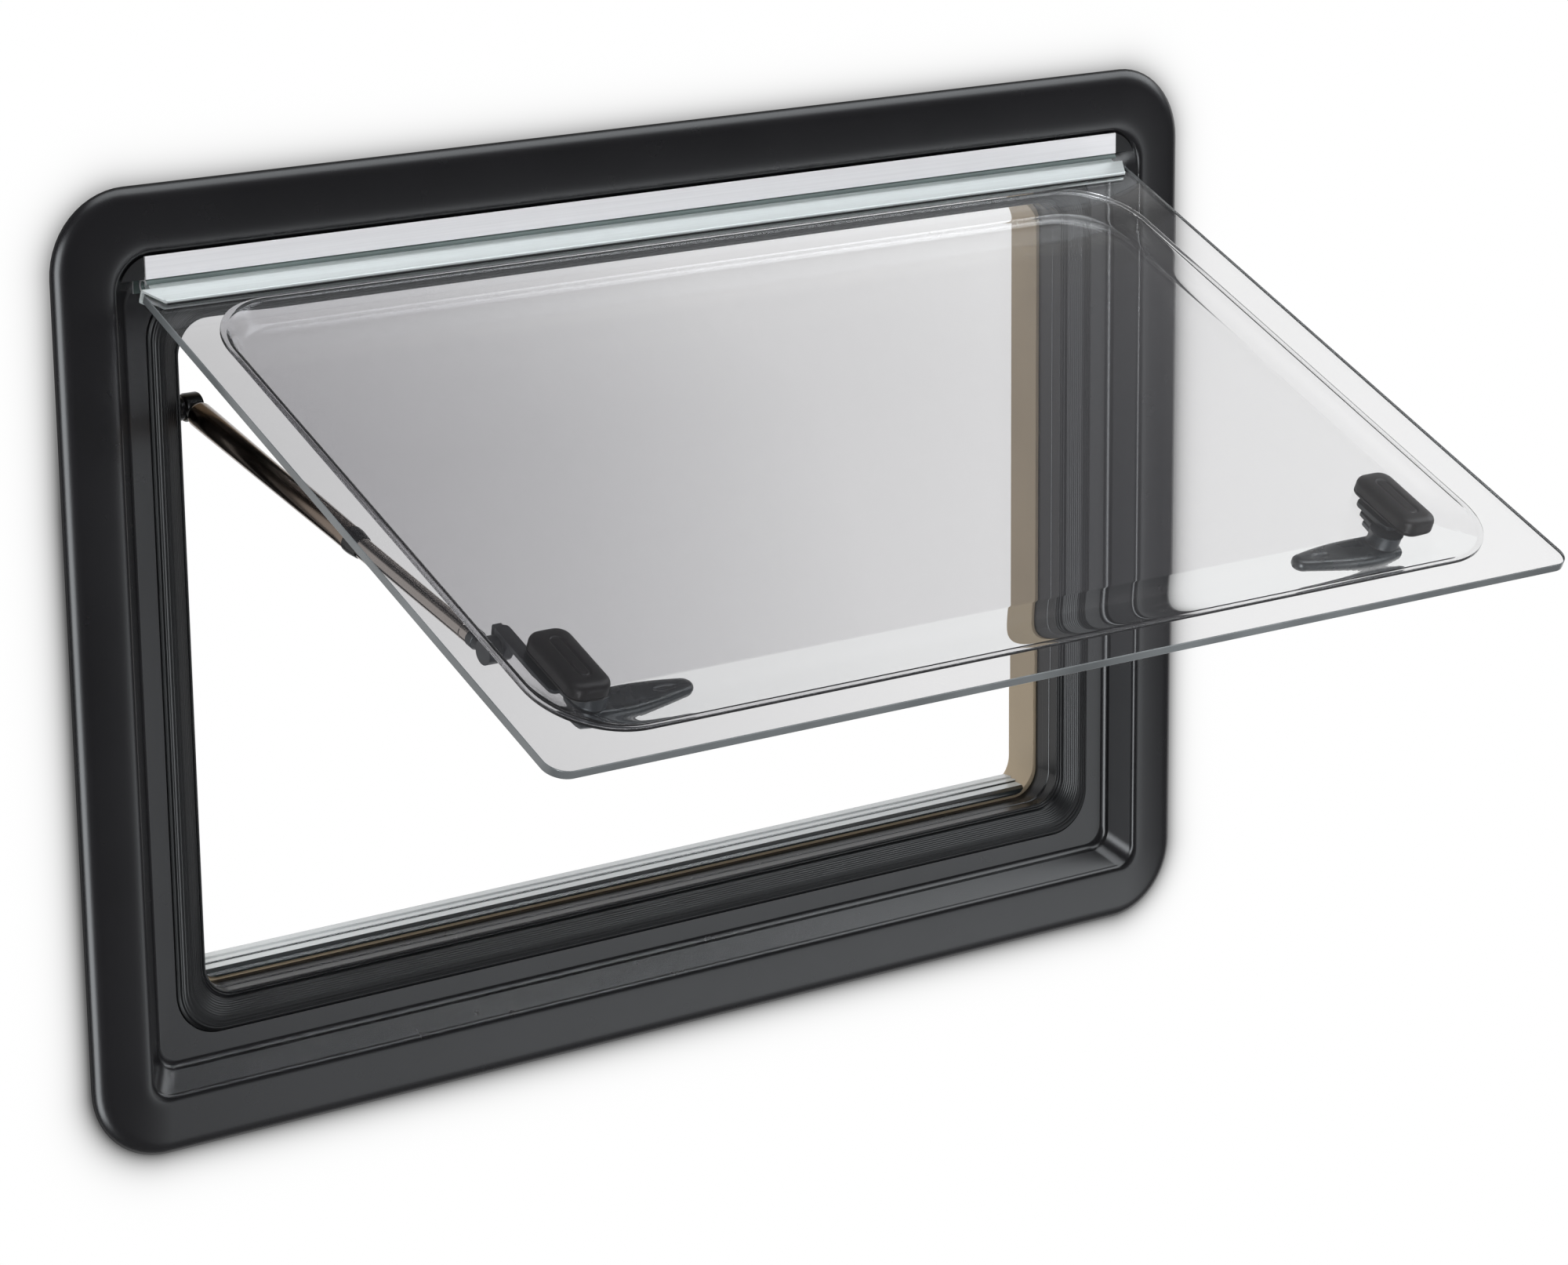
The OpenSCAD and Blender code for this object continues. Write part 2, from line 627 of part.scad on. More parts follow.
// Leaf-shaped lever on the neck, pointing to the window's middle
module latch_lever(side) {
    mid = lever_n + lever_t / 2;
    tip_r = 0.46 * lever_r;
    color([0.22, 0.26, 0.28]) on_side(side) in_sash() translate([latch_x, 0, -latch_reach]) hull() {
        slab(lever_n + seat_gap, lever_n + lever_t) circle(r = 0.82 * lever_r);
        translate([-0.45 * lever_l, 0, 0]) slab(lever_n + 1.5, lever_n + 0.9 * lever_t) circle(r = lever_r);
        translate([-lever_l + tip_r, 0, 0]) slab(mid - 1.5, mid + 1.5) circle(r = tip_r);
    }
}

outer_frame();
opening_gasket();
hinge_rail();
hinge_cap(-1);  // hinge_cap_left
hinge_cap(1);  // hinge_cap_right
inner_frame();
sill_strip();
stay_bracket();
sash_channel();
outer_pane();
inner_pane();
latch_cap(-1);  // latch_cap_left
latch_cap(1);  // latch_cap_right
latch_base(-1);  // latch_base_left
latch_base(1);  // latch_base_right
latch_catch(-1);  // latch_catch_left
latch_catch(1);  // latch_catch_right
latch_lever(-1);  // latch_lever_left
latch_lever(1);  // latch_lever_right
stay_tube();
stay_tube_cap();
stay_rod();
stay_rod_eye();
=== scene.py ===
"""Looks of a top-hung caravan window: a moulded black frame with a ribbed gasket, a double acrylic sash on
a bright rail hinge, a telescopic stay and turning latches. Lengths are in millimetres in the part's frame, in
which Y runs inward."""
import math

import bpy
import bmesh
import numpy as np
from mathutils import Matrix, Vector


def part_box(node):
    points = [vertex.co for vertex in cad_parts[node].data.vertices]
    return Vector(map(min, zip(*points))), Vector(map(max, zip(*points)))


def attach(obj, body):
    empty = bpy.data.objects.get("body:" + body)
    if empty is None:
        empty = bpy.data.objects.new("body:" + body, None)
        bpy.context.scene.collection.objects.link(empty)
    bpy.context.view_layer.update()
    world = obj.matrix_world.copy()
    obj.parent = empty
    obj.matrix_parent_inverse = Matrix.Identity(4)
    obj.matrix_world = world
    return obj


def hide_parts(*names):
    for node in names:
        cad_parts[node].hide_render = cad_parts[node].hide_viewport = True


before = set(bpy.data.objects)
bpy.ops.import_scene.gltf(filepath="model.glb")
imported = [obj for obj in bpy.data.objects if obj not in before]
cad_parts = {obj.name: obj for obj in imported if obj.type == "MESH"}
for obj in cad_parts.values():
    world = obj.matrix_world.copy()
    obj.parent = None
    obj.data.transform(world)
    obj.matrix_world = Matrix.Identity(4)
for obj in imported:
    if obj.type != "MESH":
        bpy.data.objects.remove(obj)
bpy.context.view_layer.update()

MM = 0.001
CORNER_STEPS = 14

# Driving sizes in millimetres. The frame's half width and height come from its own box

frame_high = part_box("outer_frame")[1]
HALF_W = frame_high[0] / MM
HALF_H = frame_high[2] / MM
OUTER_CORNER = 46.0
OPENING_CORNER = 18.0
GASKET_CORNER = 27.0
OPENING_IN = 82.0
GASKET_IN = 61.0
FLOOR_IN = 49.5
WALL_T = 30.0
RAIL_WEB_Z = 224.5
OPEN_ANGLE = math.radians(66.0)
HINGE = Vector((0.0, -4.3, 220.6))
PANE_HALF = HALF_W - 50.0
PANE_TOP = 6.4
PANE_BOTTOM = 440.1
PANE_T = 5.0
TRAY_GAP = 5.2
TRAY_RISE = 10.8
TRAY_T = 2.0
TRAY_STEPS = 24
TRAY_FOOT = (PANE_HALF - 26.5, PANE_BOTTOM - 25.5, 23.4)
BASE_LEVELS = (18.7, 21.7)
BASE_EDGE = 0.6
STAY_X = -297.0
STAY_PIVOT = Vector((STAY_X, 25.0, 144.0))
STAY_REACH = 312.0
STAY_STAND = 30.0
LATCH_X = 270.0
LATCH_REACH = 365.0
ACRYLIC_IOR = 1.49
SIDES = (("left", -1), ("right", 1))


# Camera, found by fitting the frame's and the sash's edges in the photograph

def make_camera():
    picture_w, focal_px = 2000.0, 5950.0
    place = Vector((-1505.6, -2210.7, 679.3))
    azimuth, pitch, roll = math.radians(35.77), math.radians(14.84), math.radians(-0.63)
    ahead = math.cos(pitch)
    forward = Vector((math.sin(azimuth) * ahead, math.cos(azimuth) * ahead, -math.sin(pitch)))
    level = Vector((math.cos(azimuth), -math.sin(azimuth), 0.0))
    upright = level.cross(forward)
    right = level * math.cos(roll) + upright * math.sin(roll)
    up = -level * math.sin(roll) + upright * math.cos(roll)
    data = bpy.data.cameras.new("camera")
    data.sensor_width = 36.0
    data.lens = focal_px / picture_w * data.sensor_width
    data.clip_end = 50.0
    camera = bpy.data.objects.new("camera", data)
    turn = Matrix((right, up, -forward)).transposed().to_4x4()
    camera.matrix_world = Matrix.Translation(place * MM) @ turn
    bpy.context.collection.objects.link(camera)
    bpy.context.scene.camera = camera


# Node helpers

def new_material(name):
    material = bpy.data.materials.new(name)
    material.use_nodes = True
    return material, material.node_tree.nodes, material.node_tree.links


def node_of_type(nodes, kind):
    return next(node for node in nodes if node.type == kind)


def shader_of(nodes):
    return node_of_type(nodes, "BSDF_PRINCIPLED")


def object_place(nodes, links):
    """X, Y and Z sockets of the point in the object's own frame."""
    split = nodes.new("ShaderNodeSeparateXYZ")
    links.new(nodes.new("ShaderNodeTexCoord").outputs["Object"], split.inputs["Vector"])
    return split.outputs


def noise(nodes, links, coord, scale, detail, stretch=None):
    node = nodes.new("ShaderNodeTexNoise")
    node.inputs["Scale"].default_value = scale
    node.inputs["Detail"].default_value = detail
    source = coord
    if stretch:
        mapping = nodes.new("ShaderNodeMapping")
        mapping.inputs["Scale"].default_value = stretch
        links.new(coord, mapping.inputs["Vector"])
        source = mapping.outputs["Vector"]
    links.new(source, node.inputs["Vector"])
    return node.outputs["Fac"]


def ramp(nodes, links, fac, stops):
    """Colour at fac between stops of (position, colour)."""
    node = nodes.new("ShaderNodeValToRGB")
    elements = node.color_ramp.elements
    while len(elements) < len(stops):
        elements.new(0.5)
    for element, (at, colour) in zip(elements, stops):
        element.position = at
        element.color = (*colour, 1.0)
    links.new(fac, node.inputs["Fac"])
    return node.outputs["Color"]


def ranged(nodes, links, value, low, high, at_low, at_high, smooth=False):
    """Value carried from the span low to high over to the span at_low to at_high, and held beyond it."""
    node = nodes.new("ShaderNodeMapRange")
    if smooth:
        node.interpolation_type = "SMOOTHSTEP"
    spans = {"From Min": low, "From Max": high, "To Min": at_low, "To Max": at_high}
    for name, number in spans.items():
        node.inputs[name].default_value = number
    links.new(value, node.inputs["Value"])
    return node.outputs["Result"]


def calc(nodes, links, operation, *values):
    """Maths on sockets and plain numbers."""
    node = nodes.new("ShaderNodeMath")
    node.operation = operation
    for socket, value in zip(node.inputs, values):
        if isinstance(value, (int, float)):
            socket.default_value = value
        else:
            links.new(value, socket)
    return node.outputs["Value"]


def mixed(nodes, links, fac, first, second):
    """Mix of two shaders by a socket or a plain number."""
    node = nodes.new("ShaderNodeMixShader")
    if isinstance(fac, float):
        node.inputs["Fac"].default_value = fac
    else:
        links.new(fac, node.inputs["Fac"])
    links.new(first, node.inputs[1])
    links.new(second, node.inputs[2])
    return node.outputs["Shader"]


def set_surface(nodes, links, shader):
    links.new(shader, node_of_type(nodes, "OUTPUT_MATERIAL").inputs["Surface"])


def bump(nodes, links, height, strength, distance):
    node = nodes.new("ShaderNodeBump")
    node.inputs["Strength"].default_value = strength
    node.inputs["Distance"].default_value = distance
    links.new(height, node.inputs["Height"])
    return node.outputs["Normal"]


# Materials

def plastic(name, colour, rough, grain=1800.0, depth=0.00008, strength=0.35, specular=0.35, spread=0.18,
            metallic=0.0, coat=0.0, uneven=0.16):
    """Moulded plastic or painted metal: cloudy colour, uneven gloss and a fine moulded grain."""
    material, nodes, links = new_material(name)
    shader = shader_of(nodes)
    coord = nodes.new("ShaderNodeTexCoord").outputs["Object"]
    cloud = noise(nodes, links, coord, 14.0, 4.0)
    low = [c * (1 - spread) for c in colour]
    high = [min(1.0, c * (1 + spread)) for c in colour]
    links.new(ramp(nodes, links, cloud, [(0.3, low), (0.7, high)]), shader.inputs["Base Color"])
    patchy = noise(nodes, links, coord, 60.0, 5.0)
    gloss = ranged(nodes, links, patchy, 0.0, 1.0, rough * (1 - uneven), rough * (1 + uneven))
    links.new(gloss, shader.inputs["Roughness"])
    fine = noise(nodes, links, coord, grain, 2.0)
    links.new(bump(nodes, links, fine, strength, depth), shader.inputs["Normal"])
    shader.inputs["Specular IOR Level"].default_value = specular
    shader.inputs["Metallic"].default_value = metallic
    shader.inputs["Coat Weight"].default_value = coat
    shader.inputs["Coat Roughness"].default_value = 0.12
    return material


def brushed(name, colour, rough, along=(6.0, 900.0, 900.0), spread=0.06, metal=1.0):
    """Metal drawn along X, with faint draw lines."""
    material, nodes, links = new_material(name)
    shader = shader_of(nodes)
    coord = nodes.new("ShaderNodeTexCoord").outputs["Object"]
    lines = noise(nodes, links, coord, 1.0, 3.0, along)
    low = [c * (1 - spread) for c in colour]
    links.new(ramp(nodes, links, lines, [(0.35, low), (0.65, colour)]), shader.inputs["Base Color"])
    gloss = ranged(nodes, links, lines, 0.0, 1.0, rough * 0.8, rough * 1.25)
    links.new(gloss, shader.inputs["Roughness"])
    links.new(bump(nodes, links, lines, 0.08, 0.00003), shader.inputs["Normal"])
    shader.inputs["Metallic"].default_value = metal
    return material


def acrylic(name, shaded_tints):
    """Clear sheet that refracts, with a faint grey tint. Its grey is deepest at the left and fades down the
    open sash; all but the faint tint is painted shade.
    """
    material, nodes, links = new_material(name)
    shader = shader_of(nodes)
    coord = nodes.new("ShaderNodeTexCoord").outputs["Object"]
    place = object_place(nodes, links)
    # Painted shade: the sheet is greyer toward the left and lighter further down the open sash
    lighter = ranged(nodes, links, place["Y"], -0.16, -0.37, 0.0, 0.11)
    across = ranged(nodes, links, calc(nodes, links, "ADD", place["X"], lighter), -0.36, 0.36, 0.0, 1.0)
    stops = [(i / (len(shaded_tints) - 1), tint) for i, tint in enumerate(shaded_tints)]
    links.new(ramp(nodes, links, across, stops), shader.inputs["Base Color"])
    smear = noise(nodes, links, coord, 7.0, 4.0)
    links.new(ranged(nodes, links, smear, 0.0, 1.0, 0.0, 0.004), shader.inputs["Roughness"])
    shader.inputs["Transmission Weight"].default_value = 1.0
    shader.inputs["IOR"].default_value = ACRYLIC_IOR
    return material


def without_glare(material, share=0.9):
    """The sheet with most of its glancing reflection left out, for faces that would mirror the frame."""
    nodes, links = material.node_tree.nodes, material.node_tree.links
    clear = nodes.new("ShaderNodeBsdfRefraction")
    clear.inputs["Color"].default_value = (0.99, 0.995, 0.995, 1.0)
    clear.inputs["IOR"].default_value = ACRYLIC_IOR
    clear.inputs["Roughness"].default_value = 0.0
    both = mixed(nodes, links, share, shader_of(nodes).outputs["BSDF"], clear.outputs["BSDF"])
    set_surface(nodes, links, both)
    return material


def make_materials():
    m = {}
    m["frame"] = plastic("frame_black", (0.0085, 0.0083, 0.0092), 0.27, grain=1500.0, depth=0.00006,
                         strength=0.25, specular=0.42, uneven=0.04)
    m["rubber"] = plastic("gasket_black", (0.006, 0.0062, 0.0066), 0.36, grain=2600.0, specular=0.32,
                          strength=0.25)
    m["inner"] = plastic("inner_beige", (0.64, 0.52, 0.36), 0.42, grain=1600.0, spread=0.05, specular=0.4)
    m["cap"] = plastic("hinge_cap_black", (0.008, 0.008, 0.0085), 0.45, specular=0.3)
    m["bracket"] = plastic("bracket_black", (0.006, 0.006, 0.0065), 0.33, specular=0.4)
    m["latch_cap"] = plastic("latch_cap_brown", (0.0125, 0.0098, 0.0090), 0.42, grain=2200.0, specular=0.34)
    m["slate"] = plastic("slate_grey", (0.034, 0.041, 0.047), 0.34, grain=2400.0, specular=0.5)
    m["lever"] = plastic("lever_grey", (0.036, 0.044, 0.049), 0.27, grain=2600.0, specular=0.5, coat=0.15)
    m["sill"] = plastic("sill_grey", (0.66, 0.70, 0.71), 0.16, grain=2600.0, spread=0.04, specular=0.5,
                        coat=0.4)
    m["sill_dark"] = plastic("sill_dark", (0.015, 0.02, 0.021), 0.22, grain=2600.0, specular=0.5, coat=0.3)
    m["rail"] = brushed("rail_aluminium", (0.90, 0.895, 0.91), 0.42, metal=0.25)
    m["channel"] = brushed("channel_aluminium", (0.84, 0.90, 0.895), 0.34, metal=0.3)
    m["chrome"] = brushed("rod_chrome", (0.40, 0.36, 0.335), 0.12, along=(12.0, 12.0, 12.0), spread=0.12)
    m["tube"] = plastic("tube_bronze", (0.17, 0.132, 0.106), 0.17, grain=900.0, metallic=1.0, specular=0.5,
                        spread=0.25, coat=0.3, strength=0.1)
    # Dark grey-green: painted shade for the groove under the rail's bright face
    m["groove"] = plastic("rail_groove_shade", (0.10, 0.13, 0.125), 0.4, grain=2600.0, specular=0.3)
    # Grey ramps from left to right: a faint real tint at the right, deepened toward the left by painted shade
    outer_shaded_tints = [(0.60, 0.597, 0.607), (0.74, 0.738, 0.745), (0.88, 0.878, 0.882), (0.955, 0.954, 0.956),
                   (0.99, 0.99, 0.992)]
    inner_shaded_tints = [(0.66, 0.655, 0.672), (0.76, 0.757, 0.77), (0.91, 0.908, 0.915), (0.98, 0.979, 0.983),
                   (0.998, 0.998, 0.999)]
    m["outer_acrylic"] = acrylic("outer_acrylic", outer_shaded_tints)
    m["inner_acrylic"] = acrylic("inner_acrylic", inner_shaded_tints)
    m["inner_flank"] = without_glare(acrylic("inner_flank", inner_shaded_tints))
    m["edge"] = plastic("acrylic_edge", (0.17, 0.185, 0.19), 0.12, grain=500.0, specular=0.5, spread=0.3)
    return m


# Mesh helpers

def arc(x, z, radius, start, steps):
    """Quarter circle of points from a start angle in degrees."""
    return [(x + radius * math.cos(math.radians(start + 90.0 * i / steps)),
             z + radius * math.sin(math.radians(start + 90.0 * i / steps))) for i in range(steps + 1)]


def rounded(low_x, high_x, low_z, high_z, bottom_r, top_r, steps=CORNER_STEPS):
    """Rounded rectangle as a closed list of points, counter-clockwise as seen from outside."""
    return (arc(high_x - top_r, high_z - top_r, top_r, 0, steps)
            + arc(low_x + top_r, high_z - top_r, top_r, 90, steps)
            + arc(low_x + bottom_r, low_z + bottom_r, bottom_r, 180, steps)
            + arc(high_x - bottom_r, low_z + bottom_r, bottom_r, 270, steps))


def frame_ring(inset, depth, bottom_r, top_r):
    points = rounded(-HALF_W + inset, HALF_W - inset, -HALF_H + inset, HALF_H - inset, bottom_r, top_r)
    return [(x, depth, z) for x, z in points]


def curve(points, steps):
    """Smooth curve through a list of points (Catmull-Rom), which keeps both ends."""
    pts = [np.array(p, float) for p in points]
    pts = [2 * pts[0] - pts[1]] + pts + [2 * pts[-1] - pts[-2]]
    out = []
    for a, b, c, d in zip(pts, pts[1:], pts[2:], pts[3:]):
        for i in range(steps):
            t = i / steps
            out.append(tuple(0.5 * (2 * b + (c - a) * t + (2 * a - 5 * b + 4 * c - d) * t ** 2
                                    + (3 * b - a - 3 * c + d) * t ** 3)))
    return out + [tuple(pts[-2])]


def softened(points, closed=True):
    """Outline of (a, b, radius) points with its corners rounded."""
    steps = 4
    out = []
    count = len(points)
    for i, (a, b, radius) in enumerate(points):
        here = np.array((a, b), float)
        if radius <= 0 or (not closed and i in (0, count - 1)):
            out.append((a, b))
            continue
        before = np.array(points[i - 1][:2], float) - here
        after = np.array(points[(i + 1) % count][:2], float) - here
        reach = min(radius, 0.45 * np.linalg.norm(before), 0.45 * np.linalg.norm(after))
        start = here + before / np.linalg.norm(before) * reach
        end = here + after / np.linalg.norm(after) * reach
        for k in range(steps + 1):
            t = k / steps
            out.append(tuple((1 - t) ** 2 * start + 2 * t * (1 - t) * here + t * t * end))
    return out


def to_object(name, verts, faces, material, sharp=35.0, extra=None, face_slots=None):
    """Mesh object from points in millimetres, with outward normals and smooth shading up to an angle."""
    mesh = bpy.data.meshes.new(name)
    mesh.from_pydata([tuple(c * MM for c in v) for v in verts], [], faces)
    mesh.materials.append(material)
    if extra:
        mesh.materials.append(extra)
        mesh.polygons.foreach_set("material_index", face_slots)
    work = bmesh.new()
    work.from_mesh(mesh)
    bmesh.ops.remove_doubles(work, verts=work.verts, dist=1e-7)
    bmesh.ops.recalc_face_normals(work, faces=work.faces)
    work.to_mesh(mesh)
    work.free()
    mesh.polygons.foreach_set("use_smooth", [True] * len(mesh.polygons))
    mesh.set_sharp_from_angle(angle=math.radians(sharp))
    obj = bpy.data.objects.new(name, mesh)
    bpy.context.collection.objects.link(obj)
    even = obj.modifiers.new("even_normals", "WEIGHTED_NORMAL")
    even.keep_sharp = True
    return obj


def loft(name, rings, material, closed=True, caps=False, **more):
    """Surface through rings of equally many points. closed joins the last ring to the first."""
    size = len(rings[0])
    verts = [p for ring in rings for p in ring]
    count = len(rings) if closed else len(rings) - 1
    faces = []
    for i in range(count):
        a, b = i * size, (i + 1) % len(rings) * size
        for j in range(size):
            k = (j + 1) % size
            faces.append((a + j, a + k, b + k, b + j))
    if caps:
        faces.append(tuple(range(size)))
        faces.append(tuple(reversed(range((len(rings) - 1) * size, len(rings) * size))))
    return to_object(name, verts, faces, material, **more)


def extruded(name, outline, stations, place, material, **more):
    """Outline swept straight through stations; place(a, b, station) gives a point."""
    return loft(name, [[place(a, b, s) for a, b in outline] for s in stations], material,
                closed=False, caps=True, **more)


def lathe(name, profile, place, material, steps=40, **more):
    """Revolved profile of (distance along, radius); place(along, across, aside) gives a point."""
    rings = []
    for along, radius in profile:
        rings.append([place(along, radius * math.cos(2 * math.pi * i / steps),
                            radius * math.sin(2 * math.pi * i / steps)) for i in range(steps)])
    return loft(name, rings, material, closed=False, caps=True, **more)


def strip_slots(chosen, inside, outside):
    """Material slots of an extruded outline's faces: inside where both ends are chosen, 0 on the caps."""
    after = chosen[1:] + chosen[:1]
    return [inside if a and b else outside for a, b in zip(chosen, after)] + [0, 0]


def pad(name, outline, levels, place, material, **more):
    """Cushioned plate: the outline at each (move inward, depth) level, capped at both ends."""
    rings = [[place(a, b, depth) for a, b in inset_outline(outline, move)] for move, depth in levels]
    return loft(name, rings, material, closed=False, caps=True, **more)


def inset_outline(outline, move):
    """Closed outline moved inward along its own normals."""
    pts = np.array(outline, float)
    before, after = np.roll(pts, 1, 0), np.roll(pts, -1, 0)
    tangent = after - before
    tangent /= np.linalg.norm(tangent, axis=1)[:, None]
    normal = np.stack([-tangent[:, 1], tangent[:, 0]], 1)
    return [tuple(p) for p in pts + normal * move]


# Places

def in_sash(x, down, inward):
    """Point given by its distance down the sash and inward from the sash's outer face."""
    s, c = math.sin(OPEN_ANGLE), math.cos(OPEN_ANGLE)
    return (x, HINGE.y - down * s + inward * c, HINGE.z - down * c - inward * s)


def stay_axes():
    """Unit vector from the frame pivot to the sash pivot, and their distance."""
    end = Vector(in_sash(STAY_X, STAY_REACH, STAY_STAND))
    way = end - STAY_PIVOT
    return way.normalized(), way.length


STAY_DIR, STAY_L = stay_axes()
STAY_SIDE = STAY_DIR.cross(Vector((1, 0, 0))).normalized()


def along_stay(along, across, aside):
    p = STAY_PIVOT + STAY_DIR * along + STAY_SIDE * aside
    return (p.x + across, p.y, p.z)


def round_pivot(distance):
    """Places a lathe profile on the stay's pivot axis, at a distance along the stay."""
    def place(along, across, aside):
        p = STAY_PIVOT + STAY_DIR * (distance + across) + STAY_SIDE * aside
        return (p.x + along, p.y, p.z)
    return place


def finish_piece(obj, body, slot, *nodes):
    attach(obj, body)
    if nodes:
        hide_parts(*nodes)


# Pieces of the fixed frame

def outer_corner(inset, inner_r):
    """Corner radius at an inset, from the outer edge's to the ridge's."""
    ridge_in = 33.6
    return OUTER_CORNER + (inner_r - OUTER_CORNER) * min(1.0, inset / ridge_in)


def make_outer_frame(m):
    face = curve([(0.8, 0), (0.0, -0.8), (0.1, -1.5), (0.7, -2.6), (2.0, -3.9), (4.0, -5.15), (6.5, -6.1),
                  (9.9, -6.85), (18.0, -7.9), (26.0, -8.7), (31.0, -9.0), (33.6, -8.8), (35.4, -8.0),
                  (36.6, -6.4)], 6)
    foot = curve([(45.2, 4.5), (46.2, 6.6), (47.8, 7.9), (49.5, 8.5)], 5)
    rings = [frame_ring(i, y, outer_corner(i, 12.0), outer_corner(i, 22.0)) for i, y in face + foot]
    throat = softened([(60.8, 8.5, 0.3), (60.8, 13.0, 0.2), (82.0, 13.0, 0.4), (82.0, 20.0, 0.4),
                       (82.6, 20.4, 0.3), (82.6, 26.5, 0.3), (82.0, 27.0, 0.3), (82.0, 34.0, 0.5),
                       (24.0, 34.0, 0.5), (24.0, 30.6, 0.3), (22.0, 29.0, 0.3), (22.0, 0.0, 0.3)],
                      closed=False)
    for inset, depth in throat:
        radius = GASKET_CORNER if inset < GASKET_IN else OPENING_CORNER
        if inset < FLOOR_IN:
            radius = OUTER_CORNER - inset
        rings.append(frame_ring(inset, depth, radius, radius))
    obj = loft("frame_moulding", rings, m["frame"], sharp=40.0)
    finish_piece(obj, "frame", "frame_plastic", "outer_frame")


def gasket_depth(at):
    """Depth of the gasket's front at a distance from its outer edge: a ribbed mound, a groove, two lips."""
    knots = ((0.2, 8.5), (1.0, 7.3), (2.2, 5.6), (3.6, 4.9), (6.6, 4.9), (9.5, 5.5), (13.0, 7.3),
             (17.2, 9.9), (18.2, 11.6), (19.1, 11.2), (21.0, 12.4))
    depth = np.interp(at, [k[0] for k in knots], [k[1] for k in knots])
    if 1.2 < at < 8.0:
        depth += 0.30 * (0.5 + 0.5 * math.cos(2 * math.pi * at / 1.7))
    elif at < 16.5:
        depth += 0.10 * math.cos(2 * math.pi * at / 1.1)
    elif at > 18.6:
        depth -= 0.75 * abs(math.sin(math.pi * (at - 18.6) / 1.25))
    return depth


def make_gasket(m):
    width, first, step, back_y = 21.0, 0.2, 0.16, 12.8
    profile = [(at, gasket_depth(at)) for at in np.arange(first, width + 0.001, step)]
    profile += [(width, back_y), (first, back_y)]
    rings = []
    for at, depth in profile:
        radius = OPENING_CORNER + (GASKET_CORNER - OPENING_CORNER) * (1.0 - at / width)
        rings.append(frame_ring(GASKET_IN + at, depth, radius, radius))
    obj = loft("gasket_ring", rings, m["rubber"], sharp=50.0)
    finish_piece(obj, "frame", "gasket_rubber", "opening_gasket")


def make_inner_frame(m):
    """Channel moulding that clamps the wall: reveal, face, outer wall and foot, open toward the wall."""
    reveal_in = 84.0
    outline = softened([(reveal_in, 34.2, 0.4), (reveal_in, 60.0, 1.8), (6.0, 60.0, 3.4),
                        (6.0, WALL_T, 0.4), (21.5, WALL_T, 0.4), (21.5, 33.4, 0.4), (9.4, 33.4, 0.8),
                        (9.4, 56.6, 1.0), (80.6, 56.6, 1.0), (80.6, 34.2, 0.4)])
    rings = []
    for inset, depth in outline:
        radius = OPENING_CORNER + 24.0 * (1.0 - inset / reveal_in)
        rings.append(frame_ring(inset, depth, radius, radius))
    obj = loft("inner_frame_ring", rings, m["inner"], sharp=40.0)
    finish_piece(obj, "frame", "inner_plastic", "inner_frame")


def make_sill(m):
    """Stepped strip on the lower reveal, dark at its front and on its middle step, with rounded ends."""
    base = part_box("sill_strip")[0][2] / MM
    outline = softened([(31.8, base + 0.05, 0.2), (58.0, base, 0.3), (58.0, base + 6.0, 0.5),
                        (51.0, base + 6.0, 0.4), (50.0, base + 5.2, 0.3), (45.0, base + 5.2, 0.3),
                        (44.2, base + 4.3, 0.3), (37.0, base + 4.0, 0.8), (33.6, base + 2.9, 0.6),
                        (31.8, base + 1.2, 0.4)])
    slots = strip_slots([y < 37.4 or 43.9 < y < 44.9 for y, z in outline], 1, 0)
    radius = OPENING_CORNER
    centre = HALF_W - OPENING_IN - 2.2 - radius

    def place(y, z, side):
        return (side * (centre + math.sqrt(radius ** 2 - (radius - z + base) ** 2)), y, z)

    obj = extruded("sill_bar", outline, (-1.0, 1.0), place, m["sill"], sharp=30.0,
                   extra=m["sill_dark"], face_slots=slots)
    finish_piece(obj, "frame", "sill_plastic", "sill_strip")


def make_rail(m):
    """Extruded rail: bright face, web, foot and a socket round the hinge axis, open outward and down."""
    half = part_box("hinge_rail")[1][0] / MM
    web = RAIL_WEB_Z
    outer_r, inner_r = 4.5, 2.8
    mouth_end, back_start, back_end, mouth_start = -104, -208, -232, -332

    def round_points(radius, start, stop, count):
        turns = [math.radians(a) for a in np.linspace(start, stop, count)]
        return [(HINGE.y + radius * math.sin(a), HINGE.z - radius * math.cos(a), 0) for a in turns]

    points = [p for p in round_points(outer_r, mouth_end, back_start, 14) if p[1] < web]
    points += [(-6.6, web, 0.3), (-8.0, web, 0.35), (-8.0, web + 12.7, 0.5), (-6.6, web + 12.7, 0.5),
               (-6.6, web + 1.26, 0.5), (8.3, web + 1.26, 0.5), (8.3, 214.6, 0.4), (6.9, 214.6, 0.4),
               (6.9, web, 0.5)]
    points += [p for p in round_points(outer_r, back_end, mouth_start, 14) if p[1] < web]
    points += round_points(inner_r, mouth_start, mouth_end, 30)
    outline = softened(points)
    # All faces but the bright front face take the dark grey-green, painted shade of the groove and the socket
    slots = strip_slots([y < -6.4 and z > web - 0.1 for y, z in outline], 0, 1)
    obj = extruded("hinge_rail_bar", outline, (-half, half), lambda y, z, x: (x, y, z), m["rail"],
                   sharp=30.0, extra=m["groove"], face_slots=slots)
    finish_piece(obj, "frame", "rail_metal", "hinge_rail")


